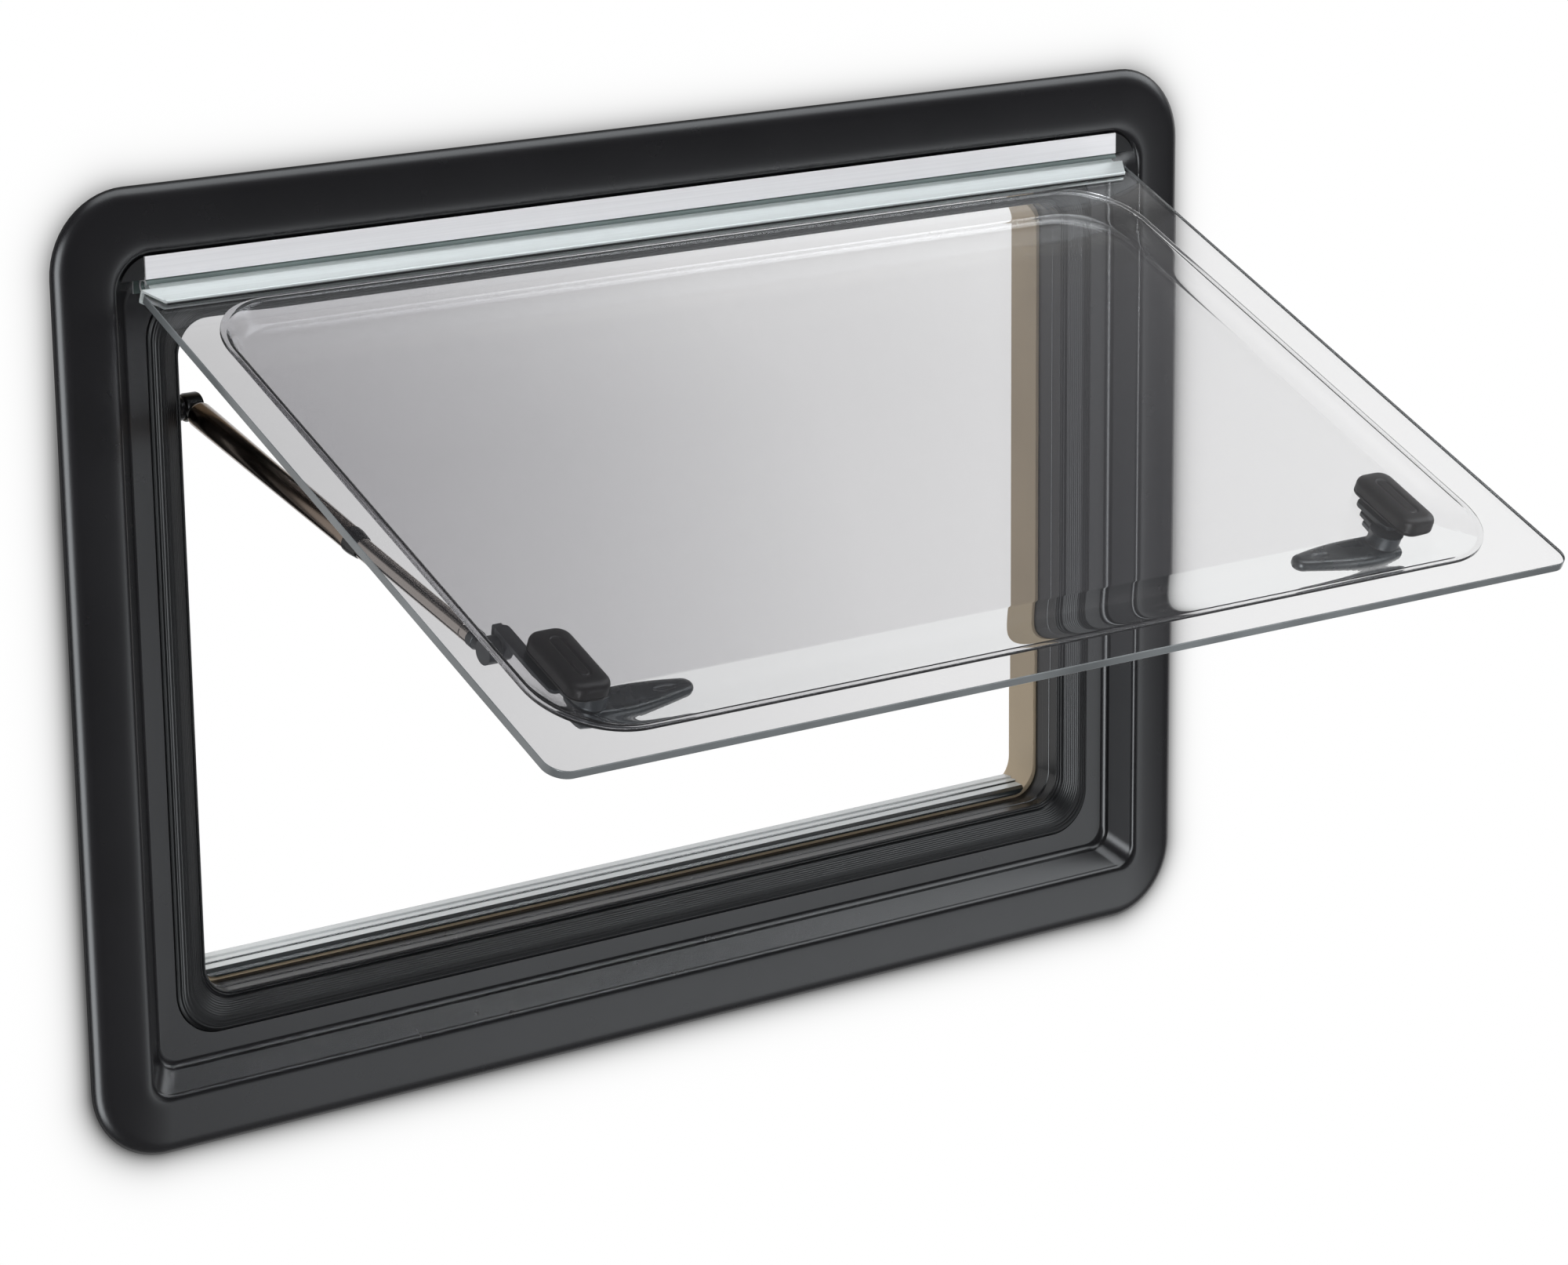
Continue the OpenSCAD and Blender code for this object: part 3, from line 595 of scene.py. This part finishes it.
def make_hinge_caps(m):
    """Corner cap beyond each end of the rail, from the web's level up to the recess's rounded corner."""
    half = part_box("hinge_rail")[1][0] / MM + 0.4
    top_in, corner_r = 37.0, 22.0
    for side, sign in SIDES:
        rings = []
        for move, depth, lean in ((0.9, -7.4, 0.0), (0.25, -7.2, 0.15), (0.0, -6.7, 0.3), (0.0, -1.0, 4.6)):
            inset = top_in + lean + corner_r
            corner_x, corner_z = HALF_W - inset, HALF_H - inset
            reach = corner_r - move
            low_z = RAIL_WEB_Z + move
            start = math.asin((low_z - corner_z) / reach)
            stop = math.acos(max(-1.0, min(1.0, (half + move - corner_x) / reach)))
            ring = [(corner_x + reach * math.cos(a), corner_z + reach * math.sin(a))
                    for a in np.linspace(start, stop, 12)]
            ring.append((half + move, low_z))
            rings.append([(sign * x, depth, z) for x, z in ring])
        obj = loft(f"hinge_corner_{side}", rings, m["cap"], closed=False, caps=True, sharp=40.0)
        finish_piece(obj, "frame", "cap_plastic", f"hinge_cap_{side}")


def make_bracket(m):
    """Connector on the reveal: a base disc and a collar with a groove."""
    reveal = OPENING_IN - HALF_W + 0.2
    profile = [(0.0, 9.0), (1.6, 9.0), (2.0, 8.6), (2.2, 7.2), (2.9, 6.9), (3.3, 6.6), (3.7, 6.9),
               (5.4, 7.0), (6.4, 6.9), (6.8, 6.4)]

    def place(along, across, aside):
        return (reveal + along, STAY_PIVOT.y + across, STAY_PIVOT.z + aside)

    obj = lathe("stay_connector", profile, place, m["bracket"], sharp=30.0)
    finish_piece(obj, "frame", "bracket_plastic", "stay_bracket")


# Pieces of the sash

def make_channel(m):
    """Channel over the sash's upper edge with mitred ends, its seal, and the bead in the rail's socket."""
    outline = softened([(-4.8, -1.4, 0.5), (-17.2, -1.4, 0.3), (-17.6, -2.1, 0.5), (-19.0, -2.1, 0.6),
                        (-19.0, -0.2, 0.4), (-6.2, -0.2, 0.2), (-6.2, 5.2, 0.2), (-19.0, 5.2, 0.4),
                        (-19.0, 6.6, 0.6), (-4.8, 6.6, 0.8)])
    miter, miter_from, lip = 8.0, 6.0, 13.0
    rings = []
    for sign in (-1, 1):
        rings.append([in_sash(sign * (PANE_HALF - miter * max(0.0, -up - miter_from) / lip), -up, n)
                      for up, n in outline])
    obj = loft("sash_channel_bar", rings, m["channel"], closed=False, caps=True, sharp=30.0)
    finish_piece(obj, "sash", "channel_metal", "sash_channel")
    seal = [(-18.8, -0.5), (-19.9, -0.45), (-20.2, 0.0), (-18.8, 0.0)]
    seal_half = PANE_HALF - 9.0
    strip = extruded("channel_seal", seal, (-seal_half, seal_half), lambda up, n, s: in_sash(s, -up, n),
                     m["rubber"], sharp=30.0)
    finish_piece(strip, "sash", "gasket_rubber")
    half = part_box("hinge_rail")[1][0] / MM - 2.0
    bead_r, slit = 2.5, math.radians(19)
    turns = np.linspace(slit, 2 * math.pi - slit, 28)
    bead = [(bead_r * math.cos(a), bead_r * math.sin(a)) for a in turns]
    bead += [(5.2, -0.8), (5.2, 0.8)]
    piece = extruded("hinge_bead", bead, (-half, half), lambda down, n, s: in_sash(s, down, n),
                     m["channel"], sharp=30.0)
    finish_piece(piece, "sash", "channel_metal")


def slab_levels(low, high, edge):
    """Levels of a slab whose rims are rounded by an edge radius."""
    steps = 4
    turn = [math.pi / 2 * i / steps for i in range(steps + 1)]
    lower = [(edge * (1 - math.sin(a)), low + edge * (1 - math.cos(a))) for a in turn]
    upper = [(edge * (1 - math.cos(a)), high - edge * (1 - math.sin(a))) for a in turn]
    return lower + upper


def make_outer_pane(m):
    """Flat sheet whose rim has the edge material."""
    outline = rounded(-PANE_HALF, PANE_HALF, -PANE_BOTTOM, -PANE_TOP, 12.0, 3.0)
    levels = slab_levels(0.0, PANE_T, 0.5)
    slots = [1] * len(outline) * (len(levels) - 1) + [0, 0]
    obj = pad("outer_sheet", outline, levels, lambda x, z, n: in_sash(x, -z, n), m["outer_acrylic"],
              extra=m["edge"], face_slots=slots)
    finish_piece(obj, "sash", "outer_acrylic", "outer_pane")


def tray_front():
    """Front of the inner pane's flank as rings of (x, z, n), from its foot to the raised floor."""
    foot_half, foot_low, foot_high = TRAY_FOOT
    side_flank, low_flank, low_power = 10.0, 44.0, 1.4
    rings = []
    for share in [i / TRAY_STEPS for i in range(TRAY_STEPS + 1)]:
        side, low = share * side_flank, share ** low_power * low_flank
        radius = 45.0 - 5.0 * share
        outline = rounded(-foot_half + side, foot_half - side, -foot_low + low, -foot_high - side, radius,
                          radius - 4.0, 20)
        n = TRAY_GAP + TRAY_RISE * share * share * (3 - 2 * share)
        rings.append([(x, z, n) for x, z in outline])
    return np.array(rings)


def tray_normals(front):
    """Unit normals of the flank's front, which point inward."""
    down_flank = np.gradient(front, axis=0)
    around = np.roll(front, -1, 1) - np.roll(front, 1, 1)
    normal = np.cross(around, down_flank)
    normal *= np.sign(normal[..., 2:])
    normal /= np.linalg.norm(normal, axis=2)[..., None]
    normal[0] = normal[-1] = (0.0, 0.0, 1.0)
    return normal


def tray_slots(front, normal, rim_rings):
    """Slot 1 for the faces of the bottom flank, back and front, and 0 for the rest."""
    foot_low, flank_reach = TRAY_FOOT[1], 50.0
    count = len(front)
    slots = []
    for i in range(2 * count + rim_rings - 1):
        is_back = i < count - 1
        at = count - 1 - i if is_back else i - count - rim_rings
        step = min(max(at, 1), count - 2)
        for (x, z, _), point in zip(normal[step], front[step]):
            low_side = abs(z) > abs(x) and point[1] < flank_reach - foot_low
            slots.append(1 if (is_back or at >= 0) and low_side else 0)
    return slots + [0, 0]


def make_inner_pane(m):
    """Formed sheet of even thickness: a narrow rim, steep flanks at the sides and top, a long one below."""
    foot_half, foot_low, foot_high = TRAY_FOOT
    front = tray_front()
    normal = tray_normals(front)
    back = front + TRAY_T * normal
    near, far, soft = TRAY_GAP, TRAY_GAP + TRAY_T, 0.3
    rim = []
    for grow, n in ((2.7, far), (3.0, far - soft), (3.0, near + soft), (2.7, near)):
        outline = rounded(-foot_half - grow, foot_half + grow, -foot_low - grow, -foot_high + grow,
                          47.0, 43.0, 20)
        rim.append([(x, z, n) for x, z in outline])
    rings = [[in_sash(x, -z, n) for x, z, n in points] for points in [*back[::-1], *rim, *front]]
    obj = loft("inner_tray", rings, m["inner_acrylic"], closed=False, caps=True, sharp=50.0,
               extra=m["inner_flank"], face_slots=tray_slots(front, normal, len(rim)))
    finish_piece(obj, "sash", "inner_acrylic", "inner_pane")


def latch_place(sign, shift_x=0.0, shift_down=0.0):
    """Places (a, b, n) at a latch: a toward the side, b up the sash, n inward."""
    def place(a, b, n):
        return in_sash(sign * (LATCH_X + shift_x + a), LATCH_REACH + shift_down - b, n)
    return place


def make_latch_caps(m):
    """Block between the panes, domed toward the outer one, with an oval groove in the dome."""
    block = rounded(-12.5, 12.5, -26.0, 26.0, 8.5, 8.5, 10)
    levels = [(1.0, 15.4), (0.3, 15.2), (0.0, 14.8), (0.0, 13.9), (0.5, 13.7), (0.5, 13.4), (0.0, 13.2),
              (0.0, 9.4), (0.25, 8.3), (0.9, 7.2), (2.0, 6.3), (3.4, 5.75), (5.0, 5.45), (6.6, 5.35)]
    groove_half, groove_r = 13.0, 4.0
    groove = [(0.6, 5.32), (0.2, 5.55), (-0.3, 6.0), (-0.9, 6.05), (-1.5, 5.7), (-2.0, 5.55)]
    outlines = [(inset_outline(block, move), n) for move, n in levels]
    outlines += [(stadium(groove_half, groove_r + grow, len(block)), n) for grow, n in groove]
    for side, sign in SIDES:
        place = latch_place(sign, 10.0, -10.0)
        rings = [[place(a, b, n) for a, b in outline] for outline, n in outlines]
        obj = loft(f"latch_cover_{side}", rings, m["latch_cap"], closed=False, caps=True, sharp=40.0)
        finish_piece(obj, "sash", "latch_cap_plastic", f"latch_cap_{side}")


def stadium(half_length, radius, count):
    """Stadium outline with its long axis along b, of count points."""
    quarter = count // 4
    out = []
    for end, start in ((1, 0), (1, 90), (-1, 180), (-1, 270)):
        for i in range(quarter):
            angle = math.radians(start + 90.0 * i / (quarter - 1))
            out.append((radius * math.cos(angle), end * half_length + radius * math.sin(angle)))
    return out


def make_latch_bases(m):
    plate = rounded(-3.0, 19.0, -2.0, 28.0, 5.0, 5.0, 8)
    for side, sign in SIDES:
        obj = pad(f"latch_plate_{side}", plate, slab_levels(*BASE_LEVELS, BASE_EDGE), latch_place(sign),
                  m["slate"], sharp=40.0)
        finish_piece(obj, "sash", "latch_plastic", f"latch_base_{side}")


def make_stay_ear(m):
    """Arm of the left base, its ear beside the stay's eye and a bright rivet on the ear."""
    place = latch_place(-1)
    ear_up = LATCH_REACH - STAY_REACH
    arm = rounded(16.5, 25.0, 0.0, ear_up + 4.0, 3.0, 3.0, 8)
    obj = pad("stay_arm", arm, slab_levels(*BASE_LEVELS, BASE_EDGE), place, m["slate"], sharp=40.0)
    finish_piece(obj, "sash", "latch_plastic")
    foot, foot_half, ear_r, near = 21.4, 9.0, 7.0, 16.5
    ear = [(foot, ear_up - foot_half, 1.0)]
    ear += [(STAY_STAND + ear_r * math.sin(a), ear_up - ear_r * math.cos(a), 0)
            for a in np.linspace(0.0, math.pi, 16)]
    ear.append((foot, ear_up + foot_half, 1.0))
    lug_levels = [(0.5, near), (0.0, near + 0.5), (0.0, near + 5.5), (0.5, near + 6.0)]
    lug = pad("stay_lug", softened(ear), lug_levels, lambda n, b, a: place(a, b, n), m["slate"], sharp=40.0)
    finish_piece(lug, "sash", "latch_plastic")
    head = [(near - 1.6, 1.0), (near - 1.4, 2.2), (near - 0.9, 3.0), (near + 0.2, 3.2)]
    rivet = lathe("stay_rivet", head, lambda s, u, v: place(s, ear_up + v, STAY_STAND + u), m["chrome"],
                  steps=24)
    finish_piece(rivet, "sash", "rod_chrome")


def make_latch_catches(m):
    """Turning neck with two catch teeth, the inner one shorter."""
    neck = [(22.0, 9.4), (22.3, 10.0), (23.0, 10.0), (23.4, 9.6), (29.8, 9.7), (30.6, 10.0), (31.0, 9.6)]
    for side, sign in SIDES:
        body = f"latch_{side}"
        place = latch_place(sign)
        obj = lathe(f"latch_neck_{side}", neck, lambda n, u, v: place(u, v, n), m["slate"], sharp=30.0)
        finish_piece(obj, body, "latch_plastic", f"latch_catch_{side}")
        for number, (first, tip) in enumerate(((23.4, 23.0), (27.2, 19.0))):
            tooth = [(-4.0, 4.0, 0.5), (-2.0, tip - 1.0, 1.6), (2.0, tip, 0.6), (3.4, tip - 3.4, 1.2),
                     (9.0, tip - 3.4, 1.2), (10.4, tip, 0.6), (13.0, tip - 1.0, 1.6), (13.0, 4.0, 0.5)]
            obj = pad(f"latch_tooth_{side}_{number}", softened(tooth[::-1]),
                      slab_levels(first, first + 2.4, 0.4), place, m["slate"], sharp=40.0)
            finish_piece(obj, body, "latch_plastic")


def leaf_outline():
    """Lever's outline: widest a third of the way from the neck, narrower at its rounded tip."""
    heel_x, length, half_heel = 8.0, 67.0, 10.0
    spine = np.linspace(0.0, 1.0, 26)
    upper = half_heel + 1.0 * np.sin(np.pi * spine) - 3.4 * spine ** 3
    lower = half_heel + 2.2 * np.sin(np.pi * spine ** 0.8) - 4.6 * spine ** 2.2
    along = heel_x - spine * length
    top = list(zip(along, upper))
    bottom = list(zip(along, -lower))
    turn = np.linspace(0.2, math.pi - 0.2, 9)
    middle, half_tip = (upper[-1] - lower[-1]) / 2, (upper[-1] + lower[-1]) / 2
    tip = [(along[-1] - 6.0 * math.sin(a), half_tip * math.cos(a) + middle) for a in turn]
    heel = [(heel_x + 3.0 * math.sin(a), -half_heel * math.cos(a)) for a in turn]
    return top + tip + bottom[::-1] + heel


def make_latch_levers(m):
    """Leaf with a soft crown, and an oval dimple near its tip on the side toward the pane."""
    outline = leaf_outline()
    dimple_x, dimple_half, dimple_r = -47.0, 6.5, 2.6
    ways = [math.atan2(b / dimple_r, (a - dimple_x) / dimple_half) for a, b in outline]
    dimple = [(0.45, 32.3), (0.8, 32.1), (1.0, 31.6), (1.15, 31.32)]
    levels = [(4.5, 31.35), (2.2, 31.5), (0.8, 32.2), (0.1, 33.5), (0.0, 34.9), (0.3, 36.5), (1.1, 37.9),
              (2.5, 38.7), (4.5, 39.0)]
    for side, sign in SIDES:
        place = latch_place(sign)
        rings = []
        for size, n in dimple:
            across, along = size * dimple_half, size * dimple_r
            rings.append([place(dimple_x + across * math.cos(w), along * math.sin(w), n) for w in ways])
        rings += [[place(a, b, n) for a, b in inset_outline(outline, move)] for move, n in levels]
        obj = loft(f"latch_leaf_{side}", rings, m["lever"], closed=False, caps=True, sharp=50.0)
        finish_piece(obj, f"latch_{side}", "lever_plastic", f"latch_lever_{side}")


# The stay

def make_stay_tube(m):
    """Tapered tube with an elbow round the frame pivot, a neck and a cap that the rod runs through."""
    tube = [(9.75, 6.4), (10.4, 7.1), (11.6, 7.4), (30.0, 7.3), (60.0, 7.0), (110.0, 6.5), (168.0, 5.9),
            (174.2, 5.8), (175.0, 5.4)]
    obj = lathe("tube", tube, along_stay, m["tube"], sharp=30.0)
    finish_piece(obj, "stay_tube", "tube_metal", "stay_tube")
    elbow = lathe("tube_elbow", [(-5.2, 5.6), (-4.8, 7.2), (-3.6, 8.0), (4.0, 8.0), (4.9, 7.6), (5.2, 7.0)],
                  round_pivot(0.0), m["bracket"])
    finish_piece(elbow, "stay_tube", "bracket_plastic")
    neck = lathe("tube_neck", [(0.0, 5.2), (6.0, 5.3), (9.2, 6.0), (11.0, 7.0), (13.5, 7.2), (14.0, 6.6)],
                 along_stay, m["bracket"])
    finish_piece(neck, "stay_tube", "bracket_plastic")
    cap = [(175.0, 5.8), (175.4, 6.2), (179.0, 6.2), (181.0, 6.0), (186.2, 5.3), (187.0, 5.0)]
    obj = lathe("tube_end", cap, along_stay, m["bracket"])
    finish_piece(obj, "stay_tube", "bracket_plastic", "stay_tube_cap")


def make_stay_rod(m):
    """Rod with a turned groove near its end, a ferrule and the eye at the sash pivot."""
    end, rod_r, groove_r = STAY_L - 16.0, 4.6, 4.3
    rod = [(140.0, 4.1), (140.4, rod_r), (end - 7.0, rod_r), (end - 6.6, groove_r), (end - 5.6, groove_r),
           (end - 5.2, rod_r), (end, rod_r)]
    obj = lathe("rod", rod, along_stay, m["chrome"])
    finish_piece(obj, "stay_rod", "rod_chrome", "stay_rod")
    ferrule = [(end, 4.4), (end + 0.3, 4.8), (end + 5.0, 4.8), (end + 5.4, 4.4), (end + 8.0, 4.0),
               (STAY_L - 4.0, 3.5)]
    obj = lathe("rod_ferrule", ferrule, along_stay, m["slate"])
    finish_piece(obj, "stay_rod", "latch_plastic", "stay_rod_eye")
    eye = [(-4.0, 6.4), (-3.6, 7.0), (3.4, 7.0), (4.0, 6.4), (4.1, 3.4), (4.3, 2.0)]
    obj = lathe("rod_eye", eye, round_pivot(STAY_L), m["slate"])
    finish_piece(obj, "stay_rod", "latch_plastic")


# Studio: a wall that the frame is held on, lamps and a surround

def shade_beside_frame(nodes, links):
    """Painted soft shadow on the wall: dark beside the frame's edge, gone after a few centimetres, weaker
    above.
    """
    def number(operation, *values):
        return calc(nodes, links, operation, *values)

    corner, fade_length, fade_power = OUTER_CORNER * MM, 0.0088, 1.15
    place = object_place(nodes, links)
    squares = []
    for axis, half in (("X", HALF_W * MM), ("Z", HALF_H * MM)):
        beyond = number("MAXIMUM", number("SUBTRACT", number("ABSOLUTE", place[axis]), half - corner), 0.0)
        squares.append(number("MULTIPLY", beyond, beyond))
    away = number("SUBTRACT", number("SQRT", number("ADD", *squares)), corner)
    away = number("DIVIDE", number("MAXIMUM", away, 0.0), fade_length)
    fade = number("EXPONENT", number("MULTIPLY", number("POWER", away, fade_power), -1.0))
    depth = ranged(nodes, links, place["Z"], 0.10, 0.29, 0.88, 0.50)
    return number("SUBTRACT", 1.0, number("MULTIPLY", fade, depth))


def background_rays(nodes, links):
    """1 for the rays that show the background: camera, glossy and transmission."""
    rays = nodes.new("ShaderNodeLightPath").outputs
    reflected = calc(nodes, links, "MAXIMUM", rays["Is Glossy Ray"], rays["Is Transmission Ray"])
    return calc(nodes, links, "MAXIMUM", rays["Is Camera Ray"], reflected)


def not_reflected(nodes, links):
    """1 until a ray has been reflected, 0 afterwards."""
    return calc(nodes, links, "LESS_THAN", nodes.new("ShaderNodeLightPath").outputs["Glossy Depth"], 0.5)


def make_wall_material():
    """Wall that glows for background rays, darkened beside the frame by a painted shadow, and is white for
    the rest. Its upper part is dimmer where it is mirrored, and it is clear from behind."""
    material, nodes, links = new_material("wall_white")
    nodes.remove(shader_of(nodes))
    diffuse = nodes.new("ShaderNodeBsdfDiffuse")
    diffuse.inputs["Color"].default_value = (0.82, 0.82, 0.82, 1.0)
    glow = nodes.new("ShaderNodeEmission")
    # Glow colour holds the painted shadow beside the frame
    links.new(shade_beside_frame(nodes, links), glow.inputs["Color"])
    mirrored = ranged(nodes, links, object_place(nodes, links)["Z"], 0.24, 0.30, 1.0, 0.22)
    level = calc(nodes, links, "MAXIMUM", not_reflected(nodes, links), mirrored)
    links.new(level, glow.inputs["Strength"])
    seen = background_rays(nodes, links)
    front = mixed(nodes, links, seen, diffuse.outputs["BSDF"], glow.outputs["Emission"])
    clear = nodes.new("ShaderNodeBsdfTransparent")
    behind = nodes.new("ShaderNodeNewGeometry").outputs["Backfacing"]
    set_surface(nodes, links, mixed(nodes, links, behind, front, clear.outputs["BSDF"]))
    return material


def make_wall():
    """Flat white piece of wall just behind the flange, with the cut-out that the frame sits in."""
    face_y, cut_in, cut_r, margin, rim_r = 0.4, 21.5, 24.5, 62.0, 60.0
    hole = frame_ring(cut_in, face_y, cut_r, cut_r)
    rim = frame_ring(-margin, face_y, rim_r, rim_r)
    size = len(hole)
    faces = [(j, (j + 1) % size, size + (j + 1) % size, size + j) for j in range(size)]
    mesh = bpy.data.meshes.new("wall")
    mesh.from_pydata([tuple(c * MM for c in v) for v in hole + rim], [], faces)
    if mesh.polygons[0].normal.y > 0:
        mesh.flip_normals()
    mesh.materials.append(make_wall_material())
    wall = bpy.data.objects.new("wall", mesh)
    bpy.context.collection.objects.link(wall)


def lamp(name, place, width, height, power):
    """Area lamp aimed at the window, in metres and watts, which neither the camera nor a mirror shows."""
    data = bpy.data.lights.new(name, "AREA")
    data.shape = "RECTANGLE"
    data.size = width
    data.size_y = height
    data.energy = power
    obj = bpy.data.objects.new(name, data)
    obj.location = place
    obj.rotation_euler = (-Vector(place)).to_track_quat("-Z", "Y").to_euler()
    obj.visible_camera = False
    obj.visible_transmission = False
    obj.visible_glossy = False
    bpy.context.collection.objects.link(obj)


def make_lamps():
    lamp("key", (-1.5, -2.4, 2.0), 1.0, 0.8, 40.0)
    lamp("front_low", (1.75, -2.35, -1.15), 1.5, 0.9, 24.0)
    lamp("back", (0.6, 2.4, 1.2), 1.8, 1.2, 22.0)


def cosine(nodes, links, way, direction):
    """Cosine of the angle between a ray's way and a unit direction."""
    node = nodes.new("ShaderNodeVectorMath")
    node.operation = "DOT_PRODUCT"
    node.inputs[1].default_value = direction
    links.new(way, node.inputs[0])
    return node.outputs["Value"]


def soft_light(nodes, links, way, toward, axis, half_long, half_short, soft, level):
    """Rectangle of light round a direction, long along axis, with a soft edge, in sines of angles."""
    toward = Vector(toward).normalized()
    along = (Vector(axis) - toward * Vector(axis).dot(toward)).normalized()
    light = ranged(nodes, links, cosine(nodes, links, way, toward), 0.0, 0.2, 0.0, level, smooth=True)
    for direction, half in ((along, half_long), (toward.cross(along), half_short)):
        off_axis = calc(nodes, links, "ABSOLUTE", cosine(nodes, links, way, direction))
        inside = ranged(nodes, links, off_axis, half, half + soft, 1.0, 0.0, smooth=True)
        light = calc(nodes, links, "MULTIPLY", light, inside)
    return light


def background(nodes, colour=(1.0, 1.0, 1.0)):
    node = nodes.new("ShaderNodeBackground")
    node.inputs["Color"].default_value = (*colour, 1.0)
    return node


def make_studio(nodes, links, way, height):
    """Dark surround, paler below and above, with lights above, at the left and, weaker, at the right."""
    above = soft_light(nodes, links, way, (0.57, -0.36, 0.74), (1.0, 0.0, 0.0), 0.55, 0.22, 0.15, 4.0)
    left = soft_light(nodes, links, way, (-0.64, -0.73, -0.22), (0.0, 0.0, 1.0), 0.45, 0.13, 0.16, 9.0)
    right = soft_light(nodes, links, way, (0.59, -0.70, -0.40), (0.0, 0.6, -0.8), 0.22, 0.10, 0.17, 2.1)
    lights = calc(nodes, links, "ADD", calc(nodes, links, "ADD", above, left), right)
    tone = background(nodes, (0.93, 0.97, 1.0))
    links.new(lights, tone.inputs["Strength"])
    dim = background(nodes)
    greys = [(0.0, (0.22, 0.22, 0.23)), (0.5, (0.10, 0.10, 0.11)), (0.75, (0.12, 0.12, 0.13)),
             (1.0, (0.17, 0.17, 0.18))]
    rising = ranged(nodes, links, height, -1.0, 1.0, 0.0, 1.0, smooth=True)
    links.new(ramp(nodes, links, rising, greys), dim.inputs["Color"])
    studio = nodes.new("ShaderNodeAddShader")
    links.new(tone.outputs["Background"], studio.inputs[0])
    links.new(dim.outputs["Background"], studio.inputs[1])
    return studio.outputs["Shader"]


def make_world():
    """White for camera rays and straight through the panes. Reflected rays see white low behind the object
    and else the studio, and diffuse rays an even grey."""
    world = bpy.data.worlds.new("surround")
    bpy.context.scene.world = world
    world.use_nodes = True
    nodes, links = world.node_tree.nodes, world.node_tree.links
    nodes.clear()
    way = nodes.new("ShaderNodeTexCoord").outputs["Generated"]
    split = nodes.new("ShaderNodeSeparateXYZ")
    links.new(way, split.inputs["Vector"])
    inward, height = split.outputs["Y"], split.outputs["Z"]

    rays = nodes.new("ShaderNodeLightPath").outputs
    reflected = calc(nodes, links, "MAXIMUM", rays["Is Glossy Ray"], rays["Is Transmission Ray"])
    even = background(nodes, (0.50, 0.50, 0.51)).outputs["Background"]
    by_kind = mixed(nodes, links, reflected, even, make_studio(nodes, links, way, height))

    far_side = ranged(nodes, links, inward, -0.15, 0.35, 0.0, 1.0, smooth=True)
    low_part = ranged(nodes, links, height, 0.50, 0.72, 1.0, 0.0, smooth=True)
    behind = calc(nodes, links, "MULTIPLY", far_side, low_part)
    straight = calc(nodes, links, "MAXIMUM", rays["Is Camera Ray"], rays["Is Transmission Ray"])
    straight = calc(nodes, links, "MULTIPLY", straight, not_reflected(nodes, links))
    seen = calc(nodes, links, "MAXIMUM", straight, calc(nodes, links, "MULTIPLY", reflected, behind))
    surround = mixed(nodes, links, seen, by_kind, background(nodes).outputs["Background"])
    output = nodes.new("ShaderNodeOutputWorld")
    links.new(surround, output.inputs["Surface"])


make_camera()
materials = make_materials()
for make_piece in (make_outer_frame, make_gasket, make_inner_frame, make_sill, make_rail, make_hinge_caps,
                   make_bracket, make_channel, make_outer_pane, make_inner_pane, make_latch_caps,
                   make_latch_bases, make_stay_ear, make_latch_catches, make_latch_levers, make_stay_tube,
                   make_stay_rod):
    make_piece(materials)
make_wall()
make_lamps()
make_world()
bpy.context.scene.view_settings.view_transform = "Standard"
